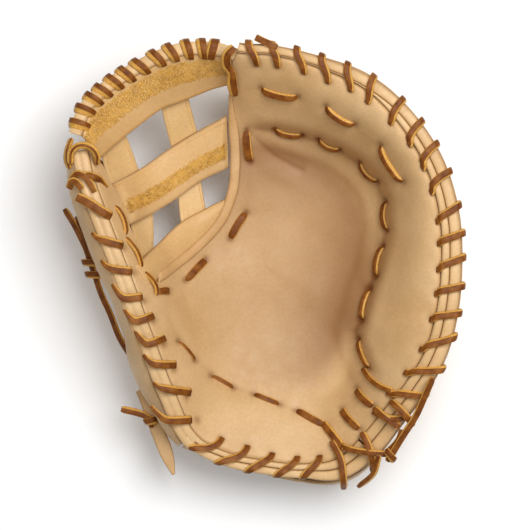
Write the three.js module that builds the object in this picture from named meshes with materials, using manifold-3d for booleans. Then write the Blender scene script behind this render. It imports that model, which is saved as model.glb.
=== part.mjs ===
// A first baseman's mitt of laced leather, lying on its back with the pocket up.
// Millimetres, +Z up. +Y runs from the heel to the finger tips and +X towards the little finger.
// The origin is on the table, under the middle of the mitt.
import * as THREE from "three";
import Module from "manifold-3d";

const wasm = await Module();
wasm.setup();

// Overall sizes
const MITT_WIDTH = 284; // thumb side to little finger side, which the plan shares of x refer to
const MITT_LENGTH = 322; // heel to web top, which the plan shares of y refer to
const RIM_HEIGHT = 116; // palm edge above the table on the finger side
const POCKET_HEIGHT = 36; // palm surface above the table at the deepest place

// Leather and stuffing
const GAP = 0.4; // clear space between two pieces of leather that lie together
const PALM_LEATHER = 4; // palm wall in the pocket: hide and lining
const PALM_STUFFING = 11; // felt that is added under the finger pad and the heel
const PALM_EDGE = 7; // palm wall where the rim is laced
const BACK_WALL = 3; // back leather with its lining
const BAND_WIDTH = 15; // all that lies outside the palm's edge on the finger side
const BINDING_TOP = 1.6; // how far a rolled binding stands above the palm's edge
const BINDING_DEPTH = 8; // how far a rolled binding reaches below the palm's edge
const THUMB_ROLL = 9; // the single wide roll along the thumb
const HEEL_ROLL = 4; // each of the two rolls along the heel
const CROTCH_BINDING = 6.4; // piping along the palm's edge at the web
const CREASE_RISE = 0.15; // how far the pocket has risen at the foot of the pads, as a share

// Web
const WEB_WALL = 4;
const WEB_BINDING = 9.5; // folded edge of the top bar
const POST_WALL = 2.6;

const HALF_X = MITT_WIDTH / 2;
const HALF_Y = MITT_LENGTH / 2;
const LEATHER = { color: 0xd8b07a, roughness: 0.55, metalness: 0 };
const BINDING = { color: 0xe0ba88, roughness: 0.5, metalness: 0 };
const LACE = { color: 0x7a3f1c, roughness: 0.6, metalness: 0 };

// The palm's edge, anticlockwise from the little finger side. x and y are shares of half the width and
// length, rise is the edge's height as a share of RIM_HEIGHT, pad says how much of a stuffed pad lies
// inside the edge, crease is where that pad's foot is between the pocket's middle and the edge, and
// band is what lies outside the edge, as a share of BAND_WIDTH.
const RIM = [
  { x: 0.868, y: 0.0, rise: 1.0, pad: 1.0, crease: 0.62, band: 1.0 },
  { x: 0.86, y: 0.204, rise: 1.02, pad: 1.0, crease: 0.67, band: 0.95 },
  { x: 0.799, y: 0.404, rise: 1.04, pad: 1.0, crease: 0.72, band: 0.92 },
  { x: 0.675, y: 0.591, rise: 1.05, pad: 1.0, crease: 0.71, band: 0.88 },
  { x: 0.498, y: 0.757, rise: 1.04, pad: 1.0, crease: 0.67, band: 0.76 },
  { x: 0.261, y: 0.857, rise: 1.02, pad: 0.9, crease: 0.66, band: 0.66 },
  { x: 0.0, y: 0.915, rise: 1.0, pad: 0.6, crease: 0.66, band: 0.62 },
  { x: -0.143, y: 0.926, rise: 0.98, pad: 0.3, crease: 0.7, band: 0.6 },
  { x: -0.3, y: 0.98, rise: 0.95, pad: 0.0, crease: 0.75, band: 0.6 },
  { x: -0.567, y: 0.939, rise: 0.91, pad: 0.0, crease: 0.75, band: 0.6 },
  { x: -0.78, y: 0.81, rise: 0.9, pad: 0.0, crease: 0.75, band: 0.6 },
  { x: -0.88, y: 0.61, rise: 0.93, pad: 0.0, crease: 0.75, band: 0.7 },
  { x: -0.855, y: 0.42, rise: 0.96, pad: 0.1, crease: 0.75, band: 0.86 },
  { x: -0.794, y: 0.26, rise: 0.97, pad: 0.2, crease: 0.75, band: 0.86 },
  { x: -0.73, y: 0.109, rise: 0.97, pad: 0.3, crease: 0.72, band: 0.86 },
  { x: -0.665, y: -0.04, rise: 0.95, pad: 0.3, crease: 0.7, band: 0.86 },
  { x: -0.605, y: -0.19, rise: 0.91, pad: 0.35, crease: 0.7, band: 0.86 },
  { x: -0.537, y: -0.36, rise: 0.83, pad: 0.4, crease: 0.7, band: 0.86 },
  { x: -0.454, y: -0.56, rise: 0.73, pad: 0.45, crease: 0.68, band: 0.86 },
  { x: -0.34, y: -0.765, rise: 0.62, pad: 0.5, crease: 0.66, band: 0.86 },
  { x: -0.182, y: -0.843, rise: 0.57, pad: 0.5, crease: 0.64, band: 0.62 },
  { x: -0.0, y: -0.878, rise: 0.55, pad: 0.5, crease: 0.64, band: 0.62 },
  { x: 0.187, y: -0.895, rise: 0.54, pad: 0.5, crease: 0.66, band: 0.8 },
  { x: 0.365, y: -0.87, rise: 0.56, pad: 0.55, crease: 0.7, band: 1.15 },
  { x: 0.498, y: -0.757, rise: 0.63, pad: 0.7, crease: 0.76, band: 1.25 },
  { x: 0.6, y: -0.64, rise: 0.73, pad: 0.85, crease: 0.74, band: 1.15 },
  { x: 0.7, y: -0.52, rise: 0.83, pad: 1.0, crease: 0.64, band: 1.1 },
  { x: 0.79, y: -0.38, rise: 0.92, pad: 1.0, crease: 0.58, band: 1.08 },
  { x: 0.848, y: -0.19, rise: 0.97, pad: 1.0, crease: 0.59, band: 1.05 },
];

// Where the palm, its bindings and the back panels start and end round the rim, in degrees of turn.
const TURN = { fingerTip: 98.5, fingerEnd: -58, heelStart: -59, heelEnd: -114, thumbStart: -115, thumbTip: -208 };

// The palm's inner edge, from the finger tip down round the web to the thumb's tip, as plan shares.
const CROTCH = [
  { x: -0.163, y: 0.883 },
  { x: -0.165, y: 0.739 },
  { x: -0.135, y: 0.587 },
  { x: -0.131, y: 0.435 },
  { x: -0.15, y: 0.317 },
  { x: -0.212, y: 0.187 },
  { x: -0.33, y: 0.07 },
  { x: -0.45, y: -0.02 },
  { x: -0.535, y: -0.075 },
  { x: -0.577, y: -0.04 },
  { x: -0.626, y: 0.065 },
  { x: -0.685, y: 0.187 },
  { x: -0.749, y: 0.317 },
  { x: -0.808, y: 0.437 },
];
const CROTCH_CORNER = 8; // the row of CROTCH where the piping ends at the thumb

// Which place on the palm's inner edge faces which place on the rim; along counts rows of CROTCH.
const RULINGS = [
  { turn: 98.5, along: 0 },
  { turn: 75, along: 1.2 },
  { turn: 45, along: 2.5 },
  { turn: 0, along: 4 },
  { turn: -45, along: 5.1 },
  { turn: -90, along: 6.1 },
  { turn: -120, along: 7.1 },
  { turn: -150, along: 8.2 },
  { turn: -170, along: 9.4 },
  { turn: -188, along: 11.2 },
  { turn: -208, along: 13 },
];

// The back's sections: turn is the place on the rim, x and y are the plan shares of the panel's inner
// edge, and edge, sole and top are heights as shares of RIM_HEIGHT: of that inner edge, of the panel's
// lowest part, and of its outer edge. bulge is how far it stands out under the rim, as a share of
// BAND_WIDTH, and flare is how far out its outer edge lies, as another.
const BACK = [
  { turn: 98.5, x: -0.13, y: 0.83, edge: 0.56, sole: 0.42, top: 0.96, bulge: 0.0, flare: 0.6 },
  { turn: 80, x: -0.13, y: 0.7, edge: 0.42, sole: 0.16, top: 1.0, bulge: 0.0, flare: 0.65 },
  { turn: 60, x: -0.12, y: 0.56, edge: 0.34, sole: 0.04, top: 1.02, bulge: 0.0, flare: 0.76 },
  { turn: 40, x: -0.11, y: 0.435, edge: 0.29, sole: 0.0, top: 1.03, bulge: 0.0, flare: 0.88 },
  { turn: 15, x: -0.12, y: 0.3, edge: 0.26, sole: 0.0, top: 1.01, bulge: 0.0, flare: 0.95 },
  { turn: -8, x: -0.22, y: 0.12, edge: 0.26, sole: 0.0, top: 0.98, bulge: 0.0, flare: 1.02 },
  { turn: -22, x: -0.27, y: -0.06, edge: 0.2, sole: 0.0, top: 0.93, bulge: 0.0, flare: 1.06 },
  { turn: -33, x: -0.19, y: -0.24, edge: 0.08, sole: 0.0, top: 0.86, bulge: 0.0, flare: 1.08 },
  { turn: -42, x: 0.02, y: -0.35, edge: 0.05, sole: 0.0, top: 0.78, bulge: 0.0, flare: 1.12 },
  { turn: -50, x: 0.24, y: -0.42, edge: 0.05, sole: 0.0, top: 0.68, bulge: 0.0, flare: 1.18 },
  { turn: -58, x: 0.37, y: -0.52, edge: 0.06, sole: 0.0, top: 0.6, bulge: 0.0, flare: 1.25 },
  { turn: -66, x: 0.33, y: -0.63, edge: 0.05, sole: 0.0, top: 0.3, bulge: 0.0, flare: 1.35 },
  { turn: -75, x: 0.2, y: -0.66, edge: 0.04, sole: 0.0, top: 0.1, bulge: 0.0, flare: 1.25 },
  { turn: -90, x: 0.0, y: -0.65, edge: 0.04, sole: 0.0, top: 0.06, bulge: 0.0, flare: 0.75 },
  { turn: -102, x: -0.14, y: -0.62, edge: 0.05, sole: 0.01, top: 0.1, bulge: 0.0, flare: 0.6 },
  { turn: -110, x: -0.24, y: -0.58, edge: 0.07, sole: 0.03, top: 0.28, bulge: 0.1, flare: 0.7 },
  { turn: -115.5, x: -0.31, y: -0.5, edge: 0.09, sole: 0.05, top: 0.6, bulge: 0.3, flare: 0.86 },
  { turn: -130, x: -0.32, y: -0.37, edge: 0.11, sole: 0.07, top: 0.71, bulge: 0.5, flare: 0.86 },
  { turn: -148, x: -0.32, y: -0.22, edge: 0.14, sole: 0.1, top: 0.85, bulge: 0.55, flare: 0.86 },
  { turn: -162, x: -0.36, y: -0.1, edge: 0.27, sole: 0.16, top: 0.92, bulge: 0.5, flare: 0.86 },
  { turn: -174, x: -0.52, y: -0.06, edge: 0.44, sole: 0.24, top: 0.95, bulge: 0.45, flare: 0.86 },
  { turn: -186, x: -0.605, y: 0.07, edge: 0.56, sole: 0.34, top: 0.96, bulge: 0.4, flare: 0.86 },
  { turn: -196, x: -0.685, y: 0.23, edge: 0.62, sole: 0.42, top: 0.96, bulge: 0.3, flare: 0.86 },
  { turn: -208, x: -0.78, y: 0.41, edge: 0.66, sole: 0.5, top: 0.95, bulge: 0.2, flare: 0.86 },
];

const DEG = Math.PI / 180;
const mix = THREE.MathUtils.lerp;
const smooth = THREE.MathUtils.smoothstep;
const steps = (n, from = 0, to = 1) => Array.from({ length: n + 1 }, (_, i) => mix(from, to, i / n));

// A cubic curve through values at rising places; with period it closes on itself.
function through(places, values, period = 0) {
  const n = places.length;
  const place = (i) => {
    const turns = Math.floor(i / n);
    return period ? places[i - turns * n] + turns * period : places[THREE.MathUtils.clamp(i, 0, n - 1)];
  };
  const value = (i) => values[period ? ((i % n) + n) % n : THREE.MathUtils.clamp(i, 0, n - 1)];
  const slope = (i) => (value(i + 1) - value(i - 1)) / Math.max(place(i + 1) - place(i - 1), 1e-9);
  return (at) => {
    let a = at;
    if (period) a = places[0] + ((((at - places[0]) % period) + period) % period);
    let i = 0;
    while (i < n - (period ? 1 : 2) && place(i + 1) <= a) i += 1;
    const span = place(i + 1) - place(i);
    const u = THREE.MathUtils.clamp((a - place(i)) / span, 0, 1);
    const v = u * u * (3 - 2 * u);
    const bendA = u * (1 - u) * (1 - u) * slope(i) * span;
    const bendB = u * u * (1 - u) * slope(i + 1) * span;
    return value(i) * (1 - v) + value(i + 1) * v + bendA - bendB;
  };
}

// One smooth function for each named column of a table.
function columns(rows, places, names, period) {
  return Object.fromEntries(names.map((k) => [k, through(places, rows.map((r) => r[k]), period)]));
}

const rimRows = RIM.map((r) => ({ ...r, turn: Math.atan2(r.y, r.x) / DEG, reach: Math.hypot(r.x, r.y) }))
  .map((r) => ({ ...r, turn: r.turn < -1e-6 ? r.turn + 360 : r.turn }))
  .sort((a, b) => a.turn - b.turn);
const rim = columns(rimRows, rimRows.map((r) => r.turn), ["reach", "rise", "pad", "crease", "band"], 360);
const backRows = [...BACK].reverse();
const back = columns(
  backRows,
  backRows.map((r) => r.turn),
  ["x", "y", "edge", "sole", "top", "bulge", "flare"],
);
const crotchX = through(CROTCH.map((r, i) => i), CROTCH.map((r) => r.x));
const crotchY = through(CROTCH.map((r, i) => i), CROTCH.map((r) => r.y));
const facing = through([...RULINGS].reverse().map((r) => r.turn), [...RULINGS].reverse().map((r) => r.along));

// The palm surface's height over a plan point: a bowl, with stuffed pads inside the rim.
function share(x, y) {
  const turn = Math.atan2(y / HALF_Y, x / HALF_X) / DEG;
  return { turn, out: Math.hypot(x / HALF_X, y / HALF_Y) / rim.reach(turn) };
}
function bowl(x, y) {
  const { turn, out } = share(x, y);
  const crease = rim.crease(turn);
  const pad = THREE.MathUtils.clamp(rim.pad(turn), 0, 1);
  const inner = CREASE_RISE * Math.pow(Math.min(out / crease, 1), 2.2);
  const past = (out - crease) / (1 - crease);
  const s = (past + Math.sqrt(past * past + 0.02)) / 2;
  const outer = (1 - CREASE_RISE) * (1 - Math.pow(Math.max(1 - s, 0), 2.1));
  const open = out < 1 ? Math.pow(out, 2.5) : 1 + (out - 1) * 0.8;
  const top = RIM_HEIGHT * rim.rise(turn);
  return POCKET_HEIGHT + (top - POCKET_HEIGHT) * mix(open, inner + outer, pad);
}
function bowlNormal(x, y) {
  const d = 0.5;
  const sx = (bowl(x + d, y) - bowl(x - d, y)) / (2 * d);
  const sy = (bowl(x, y + d) - bowl(x, y - d)) / (2 * d);
  return new THREE.Vector3(-sx, -sy, 1).normalize();
}
// A place above or below the bowl: straight up near the rim, square to the leather elsewhere.
function onBowl(x, y, lift = 0) {
  const upright = smooth(share(x, y).out, 0.85, 1);
  const way = bowlNormal(x, y).lerp(new THREE.Vector3(0, 0, 1), upright).normalize();
  return new THREE.Vector3(x, y, bowl(x, y)).addScaledVector(way, lift);
}

// The palm's wall: thin in the pocket, stuffed under the pads, firm at the rim.
function palmWall(x, y) {
  const { turn, out } = share(x, y);
  const pad = THREE.MathUtils.clamp(rim.pad(turn), 0, 1);
  const crease = rim.crease(turn);
  const stuffed = smooth(out, crease - 0.05, crease + 0.12) * (1 - smooth(out, 0.8, 1));
  return PALM_LEATHER + PALM_STUFFING * pad * stuffed + (PALM_EDGE - PALM_LEATHER) * smooth(out, 0.8, 1);
}

// The palm's edge is cut at fixed places, the stations, and runs straight between them. All that lies
// along the edge bends at the same stations, so neighbours keep their gap.
const STATIONS = steps(44, TURN.fingerTip, TURN.thumbTip);
const STATION_STEP = STATIONS[0] - STATIONS[1];
function edgeCurve(turn) {
  const r = rim.reach(turn);
  return new THREE.Vector3(r * Math.cos(turn * DEG) * HALF_X, r * Math.sin(turn * DEG) * HALF_Y, 0);
}
// Frames along an edge that runs straight between its points: out points to the edge's left or right
// side, is square to the edge, and is longer at a bend, so that an offset keeps its width.
function edgeFrames(points, side) {
  const square = (from, to) => {
    const d = points[to].clone().sub(points[from]);
    return new THREE.Vector3(-d.y * side, d.x * side, 0).normalize();
  };
  const last = points.length - 1;
  const frames = points.map((at, i) => {
    const before = square(Math.max(i - 1, 0), Math.max(i, 1));
    const after = i < last ? square(i, i + 1) : before;
    const out = before.clone().add(after).normalize();
    return { at, out: out.multiplyScalar(1 / out.dot(after)) };
  });
  return (place) => {
    const p = THREE.MathUtils.clamp(place, 0, last - 0.0001);
    const i = Math.floor(p);
    return {
      at: frames[i].at.clone().lerp(frames[i + 1].at, p - i),
      out: frames[i].out.clone().lerp(frames[i + 1].out, p - i),
      along: points[i + 1].clone().sub(points[i]).setZ(0).normalize(),
    };
  };
}
// The palm's edge. The bowl's height there is the rim's own.
const palmEdge = edgeFrames(
  STATIONS.map((turn) => edgeCurve(turn).setZ(RIM_HEIGHT * rim.rise(turn))),
  1,
);
const rimFrame = (turn) => palmEdge((STATIONS[0] - turn) / STATION_STEP);
function rimPlan(turn) {
  const { at } = rimFrame(turn);
  return new THREE.Vector2(at.x, at.y);
}
function rimPoint(turn, out, up) {
  const f = rimFrame(turn);
  return f.at.clone().addScaledVector(f.out, out).add(new THREE.Vector3(0, 0, up));
}
// The turns at which a piece between two turns has its rings: its ends and the stations between.
function turnsBetween(from, to) {
  const inner = STATIONS.filter((t) => t < from - 0.8 && t > to + 0.8);
  return [from, ...inner, to];
}

// Closed bodies from grids of points
function meshOf(points, triangles) {
  const g = new THREE.BufferGeometry();
  g.setAttribute("position", new THREE.Float32BufferAttribute(points.flatMap((p) => [p.x, p.y, p.z]), 3));
  let six = 0;
  for (const [a, b, c] of triangles) six += points[a].dot(points[b].clone().cross(points[c]));
  g.setIndex(triangles.flatMap(([a, b, c]) => (six > 0 ? [a, b, c] : [a, c, b])));
  g.computeVertexNormals();
  return g;
}
// A wall between two grids of the same size.
function wall(face, lining) {
  const rows = face.length;
  const cols = face[0].length;
  const points = [...face.flat(), ...lining.flat()];
  const f = (i, j) => i * cols + j;
  const l = (i, j) => rows * cols + f(i, j);
  const triangles = [];
  const quad = (a, b, c, d) => triangles.push([a, b, c], [a, c, d]);
  for (let i = 0; i < rows - 1; i++)
    for (let j = 0; j < cols - 1; j++) {
      quad(f(i, j), f(i + 1, j), f(i + 1, j + 1), f(i, j + 1));
      quad(l(i, j), l(i, j + 1), l(i + 1, j + 1), l(i + 1, j));
    }
  for (let i = 0; i < rows - 1; i++) {
    quad(f(i, 0), l(i, 0), l(i + 1, 0), f(i + 1, 0));
    quad(f(i, cols - 1), f(i + 1, cols - 1), l(i + 1, cols - 1), l(i, cols - 1));
  }
  for (let j = 0; j < cols - 1; j++) {
    quad(f(0, j), f(0, j + 1), l(0, j + 1), l(0, j));
    quad(f(rows - 1, j), l(rows - 1, j), l(rows - 1, j + 1), f(rows - 1, j + 1));
  }
  return meshOf(points, triangles);
}
// A rope of rings, each a closed outline with the same number of points, with flat ends.
function rope(rings) {
  const n = rings[0].length;
  const points = rings.flat();
  const triangles = [];
  for (let i = 0; i < rings.length - 1; i++)
    for (let j = 0; j < n; j++) {
      const k = (j + 1) % n;
      triangles.push([i * n + j, i * n + k, (i + 1) * n + k], [i * n + j, (i + 1) * n + k, (i + 1) * n + j]);
    }
  const end = (rings.length - 1) * n;
  for (let j = 1; j < n - 1; j++) triangles.push([0, j + 1, j], [end, end + j, end + j + 1]);
  return meshOf(points, triangles);
}
const mitt = new THREE.Group();
mitt.name = "mitt";
function add(name, geometry, look) {
  const mesh = new THREE.Mesh(geometry, new THREE.MeshStandardMaterial(look));
  mesh.name = name;
  mitt.add(mesh);
  return mesh;
}

// Palm: one stuffed wall, ruled from the rim to the web's edge
function palm() {
  const face = [];
  const lining = [];
  for (const turn of STATIONS) {
    const from = rimPlan(turn);
    const row = facing(turn);
    const to = new THREE.Vector2(crotchX(row) * HALF_X, crotchY(row) * HALF_Y);
    const line = steps(10).map((t) => from.clone().lerp(to, Math.pow(t, 1.25)));
    face.push(line.map((p) => onBowl(p.x, p.y)));
    lining.push(line.map((p) => onBowl(p.x, p.y, -palmWall(p.x, p.y))));
  }
  return wall(face, lining);
}

// A rolled binding that lies outside the palm's edge from inner to outer, over a stretch of turn.
function rimRoll(fromTurn, toTurn, inner, outer) {
  return rope(
    turnsBetween(fromTurn, toTurn).map((turn) => {
      const a = inner(turn);
      const b = outer(turn);
      return [
        [0, -BINDING_DEPTH],
        [0, 0],
        [0.22, 0.75],
        [0.5, 1],
        [0.78, 0.75],
        [1, 0],
        [1, -BINDING_DEPTH],
      ].map(([w, h]) => rimPoint(turn, mix(a, b, w), h < 0 ? h : h * BINDING_TOP));
    }),
  );
}
const bandRoom = (turn) => rim.band(turn) * BAND_WIDTH - BACK_WALL - 3 * GAP;
const fingerInner = (turn) => GAP + bandRoom(turn) * 0.54;
const fingerOuter = (turn) => GAP + bandRoom(turn);

// A section of the back: from the rim's outside, down and under, to the panel's inner edge.
function backCurve(turn) {
  const f = rimFrame(turn);
  const flare = back.flare(turn) * BAND_WIDTH;
  const bulge = back.bulge(turn) * BAND_WIDTH;
  const top = back.top(turn) * RIM_HEIGHT;
  const sole = back.sole(turn) * RIM_HEIGHT;
  const edge = back.edge(turn) * RIM_HEIGHT;
  const from = rimPlan(turn);
  const to = new THREE.Vector2(back.x(turn) * HALF_X, back.y(turn) * HALF_Y);
  const run = to.clone().sub(from);
  const place = (out, along, height) =>
    new THREE.Vector3(
      from.x + f.out.x * out + run.x * along,
      from.y + f.out.y * out + run.y * along,
      height,
    );
  const drop = top - sole;
  const stations = [
    place(flare, 0, top),
    place(flare + bulge * 0.7, 0, sole + drop * 0.86),
    place(flare + bulge, 0, sole + drop * 0.64),
    place(flare * 0.75 + bulge * 0.7, 0, sole + drop * 0.38),
    place(flare * 0.1, 0.03, sole + drop * 0.14),
    place(0, 0.16, sole + drop * 0.02),
    place(0, 0.32, sole),
    place(0, 0.7, sole),
    place(0, 0.87, mix(sole, edge, 0.35)),
    place(0, 1, edge),
  ];
  return new THREE.CatmullRomCurve3(stations, false, "centripetal");
}
function backPanel(fromTurn, toTurn, cols) {
  const face = turnsBetween(fromTurn, toTurn).map((turn) => {
    const curve = backCurve(turn);
    return steps(cols).map((t) => curve.getPoint(t)).map((q) => q.setZ(Math.max(q.z, 0)));
  });
  const lining = face.map((line, i) =>
    line.map((p, j) => {
      const before = face[Math.max(i - 1, 0)][j];
      const after = face[Math.min(i + 1, face.length - 1)][j];
      const up = line[Math.max(j - 1, 0)];
      const down = line[Math.min(j + 1, line.length - 1)];
      const normal = after.clone().sub(before).cross(down.clone().sub(up)).normalize();
      return p.clone().addScaledVector(normal, -BACK_WALL);
    }),
  );
  return wall(face, lining);
}

// Piping along the palm's edge at the web
const crotchEdge = edgeFrames(
  steps(18, 0.85, CROTCH_CORNER).map((row) => new THREE.Vector3(crotchX(row) * HALF_X, crotchY(row) * HALF_Y, 0)),
  -1,
);
function piping() {
  const section = [
    [0, -0.6],
    [0, 0.1],
    [0.3, 0.34],
    [0.7, 0.34],
    [1, 0.1],
    [1, -0.6],
  ];
  return rope(
    steps(18, 0, 18).map((place) => {
      const { at, out } = crotchEdge(place);
      return section.map(([w, h]) => {
        const q = at.clone().addScaledVector(out, 2 * GAP + w * CROTCH_BINDING);
        return onBowl(q.x, q.y, h * CROTCH_BINDING);
      });
    }),
  );
}

// Web bars and posts: walls on the bowl between two edges that are given in plan
function webWall(rows, across, thick, crown, lift = 0) {
  const names = ["ax", "ay", "bx", "by"];
  const edge = columns(rows, rows.map((r, i) => i), names);
  const face = [];
  const lining = [];
  for (const u of steps((rows.length - 1) * 2, 0, rows.length - 1)) {
    const spots = steps(across).map((v) => [
      mix(edge.ax(u), edge.bx(u), v) * HALF_X,
      mix(edge.ay(u), edge.by(u), v) * HALF_Y,
      crown * Math.sin(Math.PI * v),
    ]);
    face.push(spots.map(([x, y, rise]) => onBowl(x, y, lift + rise)));
    lining.push(spots.map(([x, y, rise]) => onBowl(x, y, lift + rise * 0.5 - thick)));
  }
  return wall(face, lining);
}

// A lace: rings square to a path, as wide as the lace along its side and as thick as it
function lace(path, width, thick) {
  return rope(
    path.map(({ at, side }, i) => {
      const before = path[Math.max(i - 1, 0)].at;
      const after = path[Math.min(i + 1, path.length - 1)].at;
      const face = side.clone().cross(after.clone().sub(before)).normalize();
      return [
        [-1, -1],
        [1, -1],
        [1, 1],
        [-1, 1],
      ].map(([w, t]) => at.clone().addScaledVector(side, (w * width) / 2).addScaledVector(face, (t * thick) / 2));
    }),
  );
}

const STITCH_POINTS = 7; // points of a rim lace's path in one stitch
const ENTERS_BACK = 0; // of these, the one before the back's hole
const ENTERS_TOP = STITCH_POINTS - 2; // and the one before the hole at the top

// Rim laces. Each stitch leaves the back or the edge's underside at end, crosses the bindings and goes
// down through the palm at hole; both are turns, or rows of the web's edge. inset is how far the hole
// lies inside the edge, as a share of BAND_WIDTH.
const LACE_WIDTH = 5;
const LACE_THICK = 1.8;
const FINGER_STITCHES = [
  { end: 95.2, hole: 92.3, inset: 0.48 },
  { end: 88.2, hole: 85.4, inset: 0.46 },
  { end: 80.9, hole: 76.6, inset: 0.44 },
  { end: 73.1, hole: 68.5, inset: 0.48 },
  { end: 65.0, hole: 60.7, inset: 0.4 },
  { end: 57.2, hole: 54.0, inset: 0.4 },
  { end: 47.5, hole: 44.5, inset: 0.32 },
  { end: 39.7, hole: 35.9, inset: 0.28 },
  { end: 32.5, hole: 28.1, inset: 0.28 },
  { end: 24.8, hole: 20.7, inset: 0.28 },
  { end: 16.1, hole: 12.6, inset: 0.28 },
  { end: 8.9, hole: 6.3, inset: 0.28 },
  { end: 2.5, hole: -1.2, inset: 0.28 },
  { end: -5.4, hole: -8.2, inset: 0.3 },
  { end: -12.6, hole: -15.8, inset: 0.32 },
  { end: -19.0, hole: -25.2, inset: 0.34 },
  { end: -27.6, hole: -33.7, inset: 0.4 },
  { end: -36.0, hole: -41.9, inset: 0.4 },
];
const HEEL_STITCHES = [
  { end: -78.1, hole: -72.5, inset: 0.3 },
  { end: -85.8, hole: -79.7, inset: 0.3 },
  { end: -95.3, hole: -88.1, inset: 0.34 },
  { end: -104.8, hole: -96.8, inset: 0.5 },
  { end: -111.5, hole: -106.5, inset: 0.5 },
];
const THUMB_STITCHES = [
  { end: -126.4, hole: -118.5, inset: 0.5 },
  { end: -136.4, hole: -127.5, inset: 0.5 },
  { end: -146.0, hole: -138.0, inset: 0.5 },
  { end: -156.5, hole: -148.4, inset: 0.46 },
  { end: -164.2, hole: -158.7, inset: 0.42 },
  { end: -173.0, hole: -167.7, inset: 0.34 },
  { end: -181.2, hole: -177.7, inset: 0.34 },
  { end: -189.1, hole: -186.8, inset: 0.34 },
  { end: -197.0, hole: -195.8, inset: 0.34 },
  { end: -203.6, hole: -203.0, inset: 0.34 },
];
const WEB_STITCHES = [
  { end: 0.8, hole: 1.15, inset: 0.3 },
  { end: 1.75, hole: 1.6, inset: 0.25 },
  { end: 2.55, hole: 2.4, inset: 0.3 },
  { end: 3.45, hole: 3.25, inset: 0.3 },
  { end: 4.2, hole: 4.0, inset: 0.3 },
  { end: 4.95, hole: 4.75, inset: 0.3 },
  { end: 5.6, hole: 5.45, inset: 0.3 },
  { end: 6.25, hole: 6.1, inset: 0.3 },
  { end: 6.95, hole: 6.8, inset: 0.3 },
  { end: 7.55, hole: 7.4, inset: 0.3 },
  { end: 8.1, hole: 8.0, inset: 0.3 },
  { end: 8.62, hole: 8.55, inset: 0.3 },
];

// The path of a rim lace. edge gives the frames, room the bindings' width, wallAt the leather's
// thickness, and leaves the two points at which a stitch comes out below.
function whip(stitches, edge, room, wallAt, leaves) {
  const spot = (place, out, up) => {
    const f = edge(place);
    return { at: f.at.clone().addScaledVector(f.out, out).add(new THREE.Vector3(0, 0, up)), side: f.along };
  };
  const inside = (place, inset, lift) => {
    const f = edge(place);
    const q = f.at.clone().addScaledVector(f.out, -inset);
    return { at: onBowl(q.x, q.y, lift(q)), side: f.along };
  };
  const over = BINDING_TOP + LACE_THICK / 2 + 2.4 * GAP;
  return stitches.flatMap(({ end, hole, inset }) => {
    const deep = inset * BAND_WIDTH;
    const wide = room(end);
    return [
      ...leaves(end, spot),
      spot(mix(end, hole, 0.05), wide + 2.5, 0.9),
      spot(mix(end, hole, 0.25), wide - 0.8, over + 0.5),
      spot(mix(end, hole, 0.75), 1.2, over + 0.2),
      inside(hole, deep, () => LACE_THICK / 2 + 4.2 * GAP),
      inside(hole, deep, (q) => -wallAt(q.x, q.y) - LACE_THICK - 4 * GAP),
    ];
  });
}
const roundEdge = (room, depth) => (end, spot) => [
  spot(end, room(end) * 0.4, -depth - LACE_THICK - GAP),
  spot(end, room(end) + 1.9, -depth - 1.4),
];
// Out of the back panel, at a share of the way down its section
const throughBack = (low) => (end) => {
  const [above, at, below] = [low - 0.02, low, low + 0.02].map((t) => backCurve(end).getPoint(t));
  const { along } = rimFrame(end);
  const square = along.clone().cross(below.clone().sub(above)).normalize();
  const away = square.dot(rimFrame(end).out) > 0 ? square : square.negate();
  return [
    { at: at.clone().addScaledVector(away, -BACK_WALL - 2.2), side: along },
    { at: at.clone().addScaledVector(away, LACE_THICK / 2 + 2 * GAP), side: along },
  ];
};

// A lace lying on the palm between two plan points
const palmMesh = new THREE.Mesh(palm(), new THREE.MeshStandardMaterial({ side: THREE.DoubleSide }));
const ray = new THREE.Raycaster();
function palmTop(x, y) {
  ray.set(new THREE.Vector3(x, y, 400), new THREE.Vector3(0, 0, -1));
  const hit = ray.intersectObject(palmMesh)[0];
  return hit ? hit.point.z : bowl(x, y);
}
function laid({ ax, ay, bx, by, width }) {
  const a = new THREE.Vector2(ax * HALF_X, ay * HALF_Y);
  const b = new THREE.Vector2(bx * HALF_X, by * HALF_Y);
  const wide = (width ?? 1) * LACE_WIDTH * 0.92;
  const side = b.clone().sub(a).normalize().rotateAround(new THREE.Vector2(), Math.PI / 2);
  return rope(
    steps(3).map((t) => {
      const c = a.clone().lerp(b, t);
      const tuck = t === 0 || t === 1 ? 0.45 : 1;
      return [
        [-1, 0],
        [1, 0],
        [1, tuck],
        [-1, tuck],
      ].map(([w, h]) => {
        const q = c.clone().addScaledVector(side, (w * wide) / 2);
        const way = bowlNormal(q.x, q.y);
        const foot = new THREE.Vector3(q.x, q.y, palmTop(q.x, q.y));
        return foot.addScaledVector(way, 2 * GAP + h * LACE_THICK * 0.8);
      });
    }),
  );
}

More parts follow.
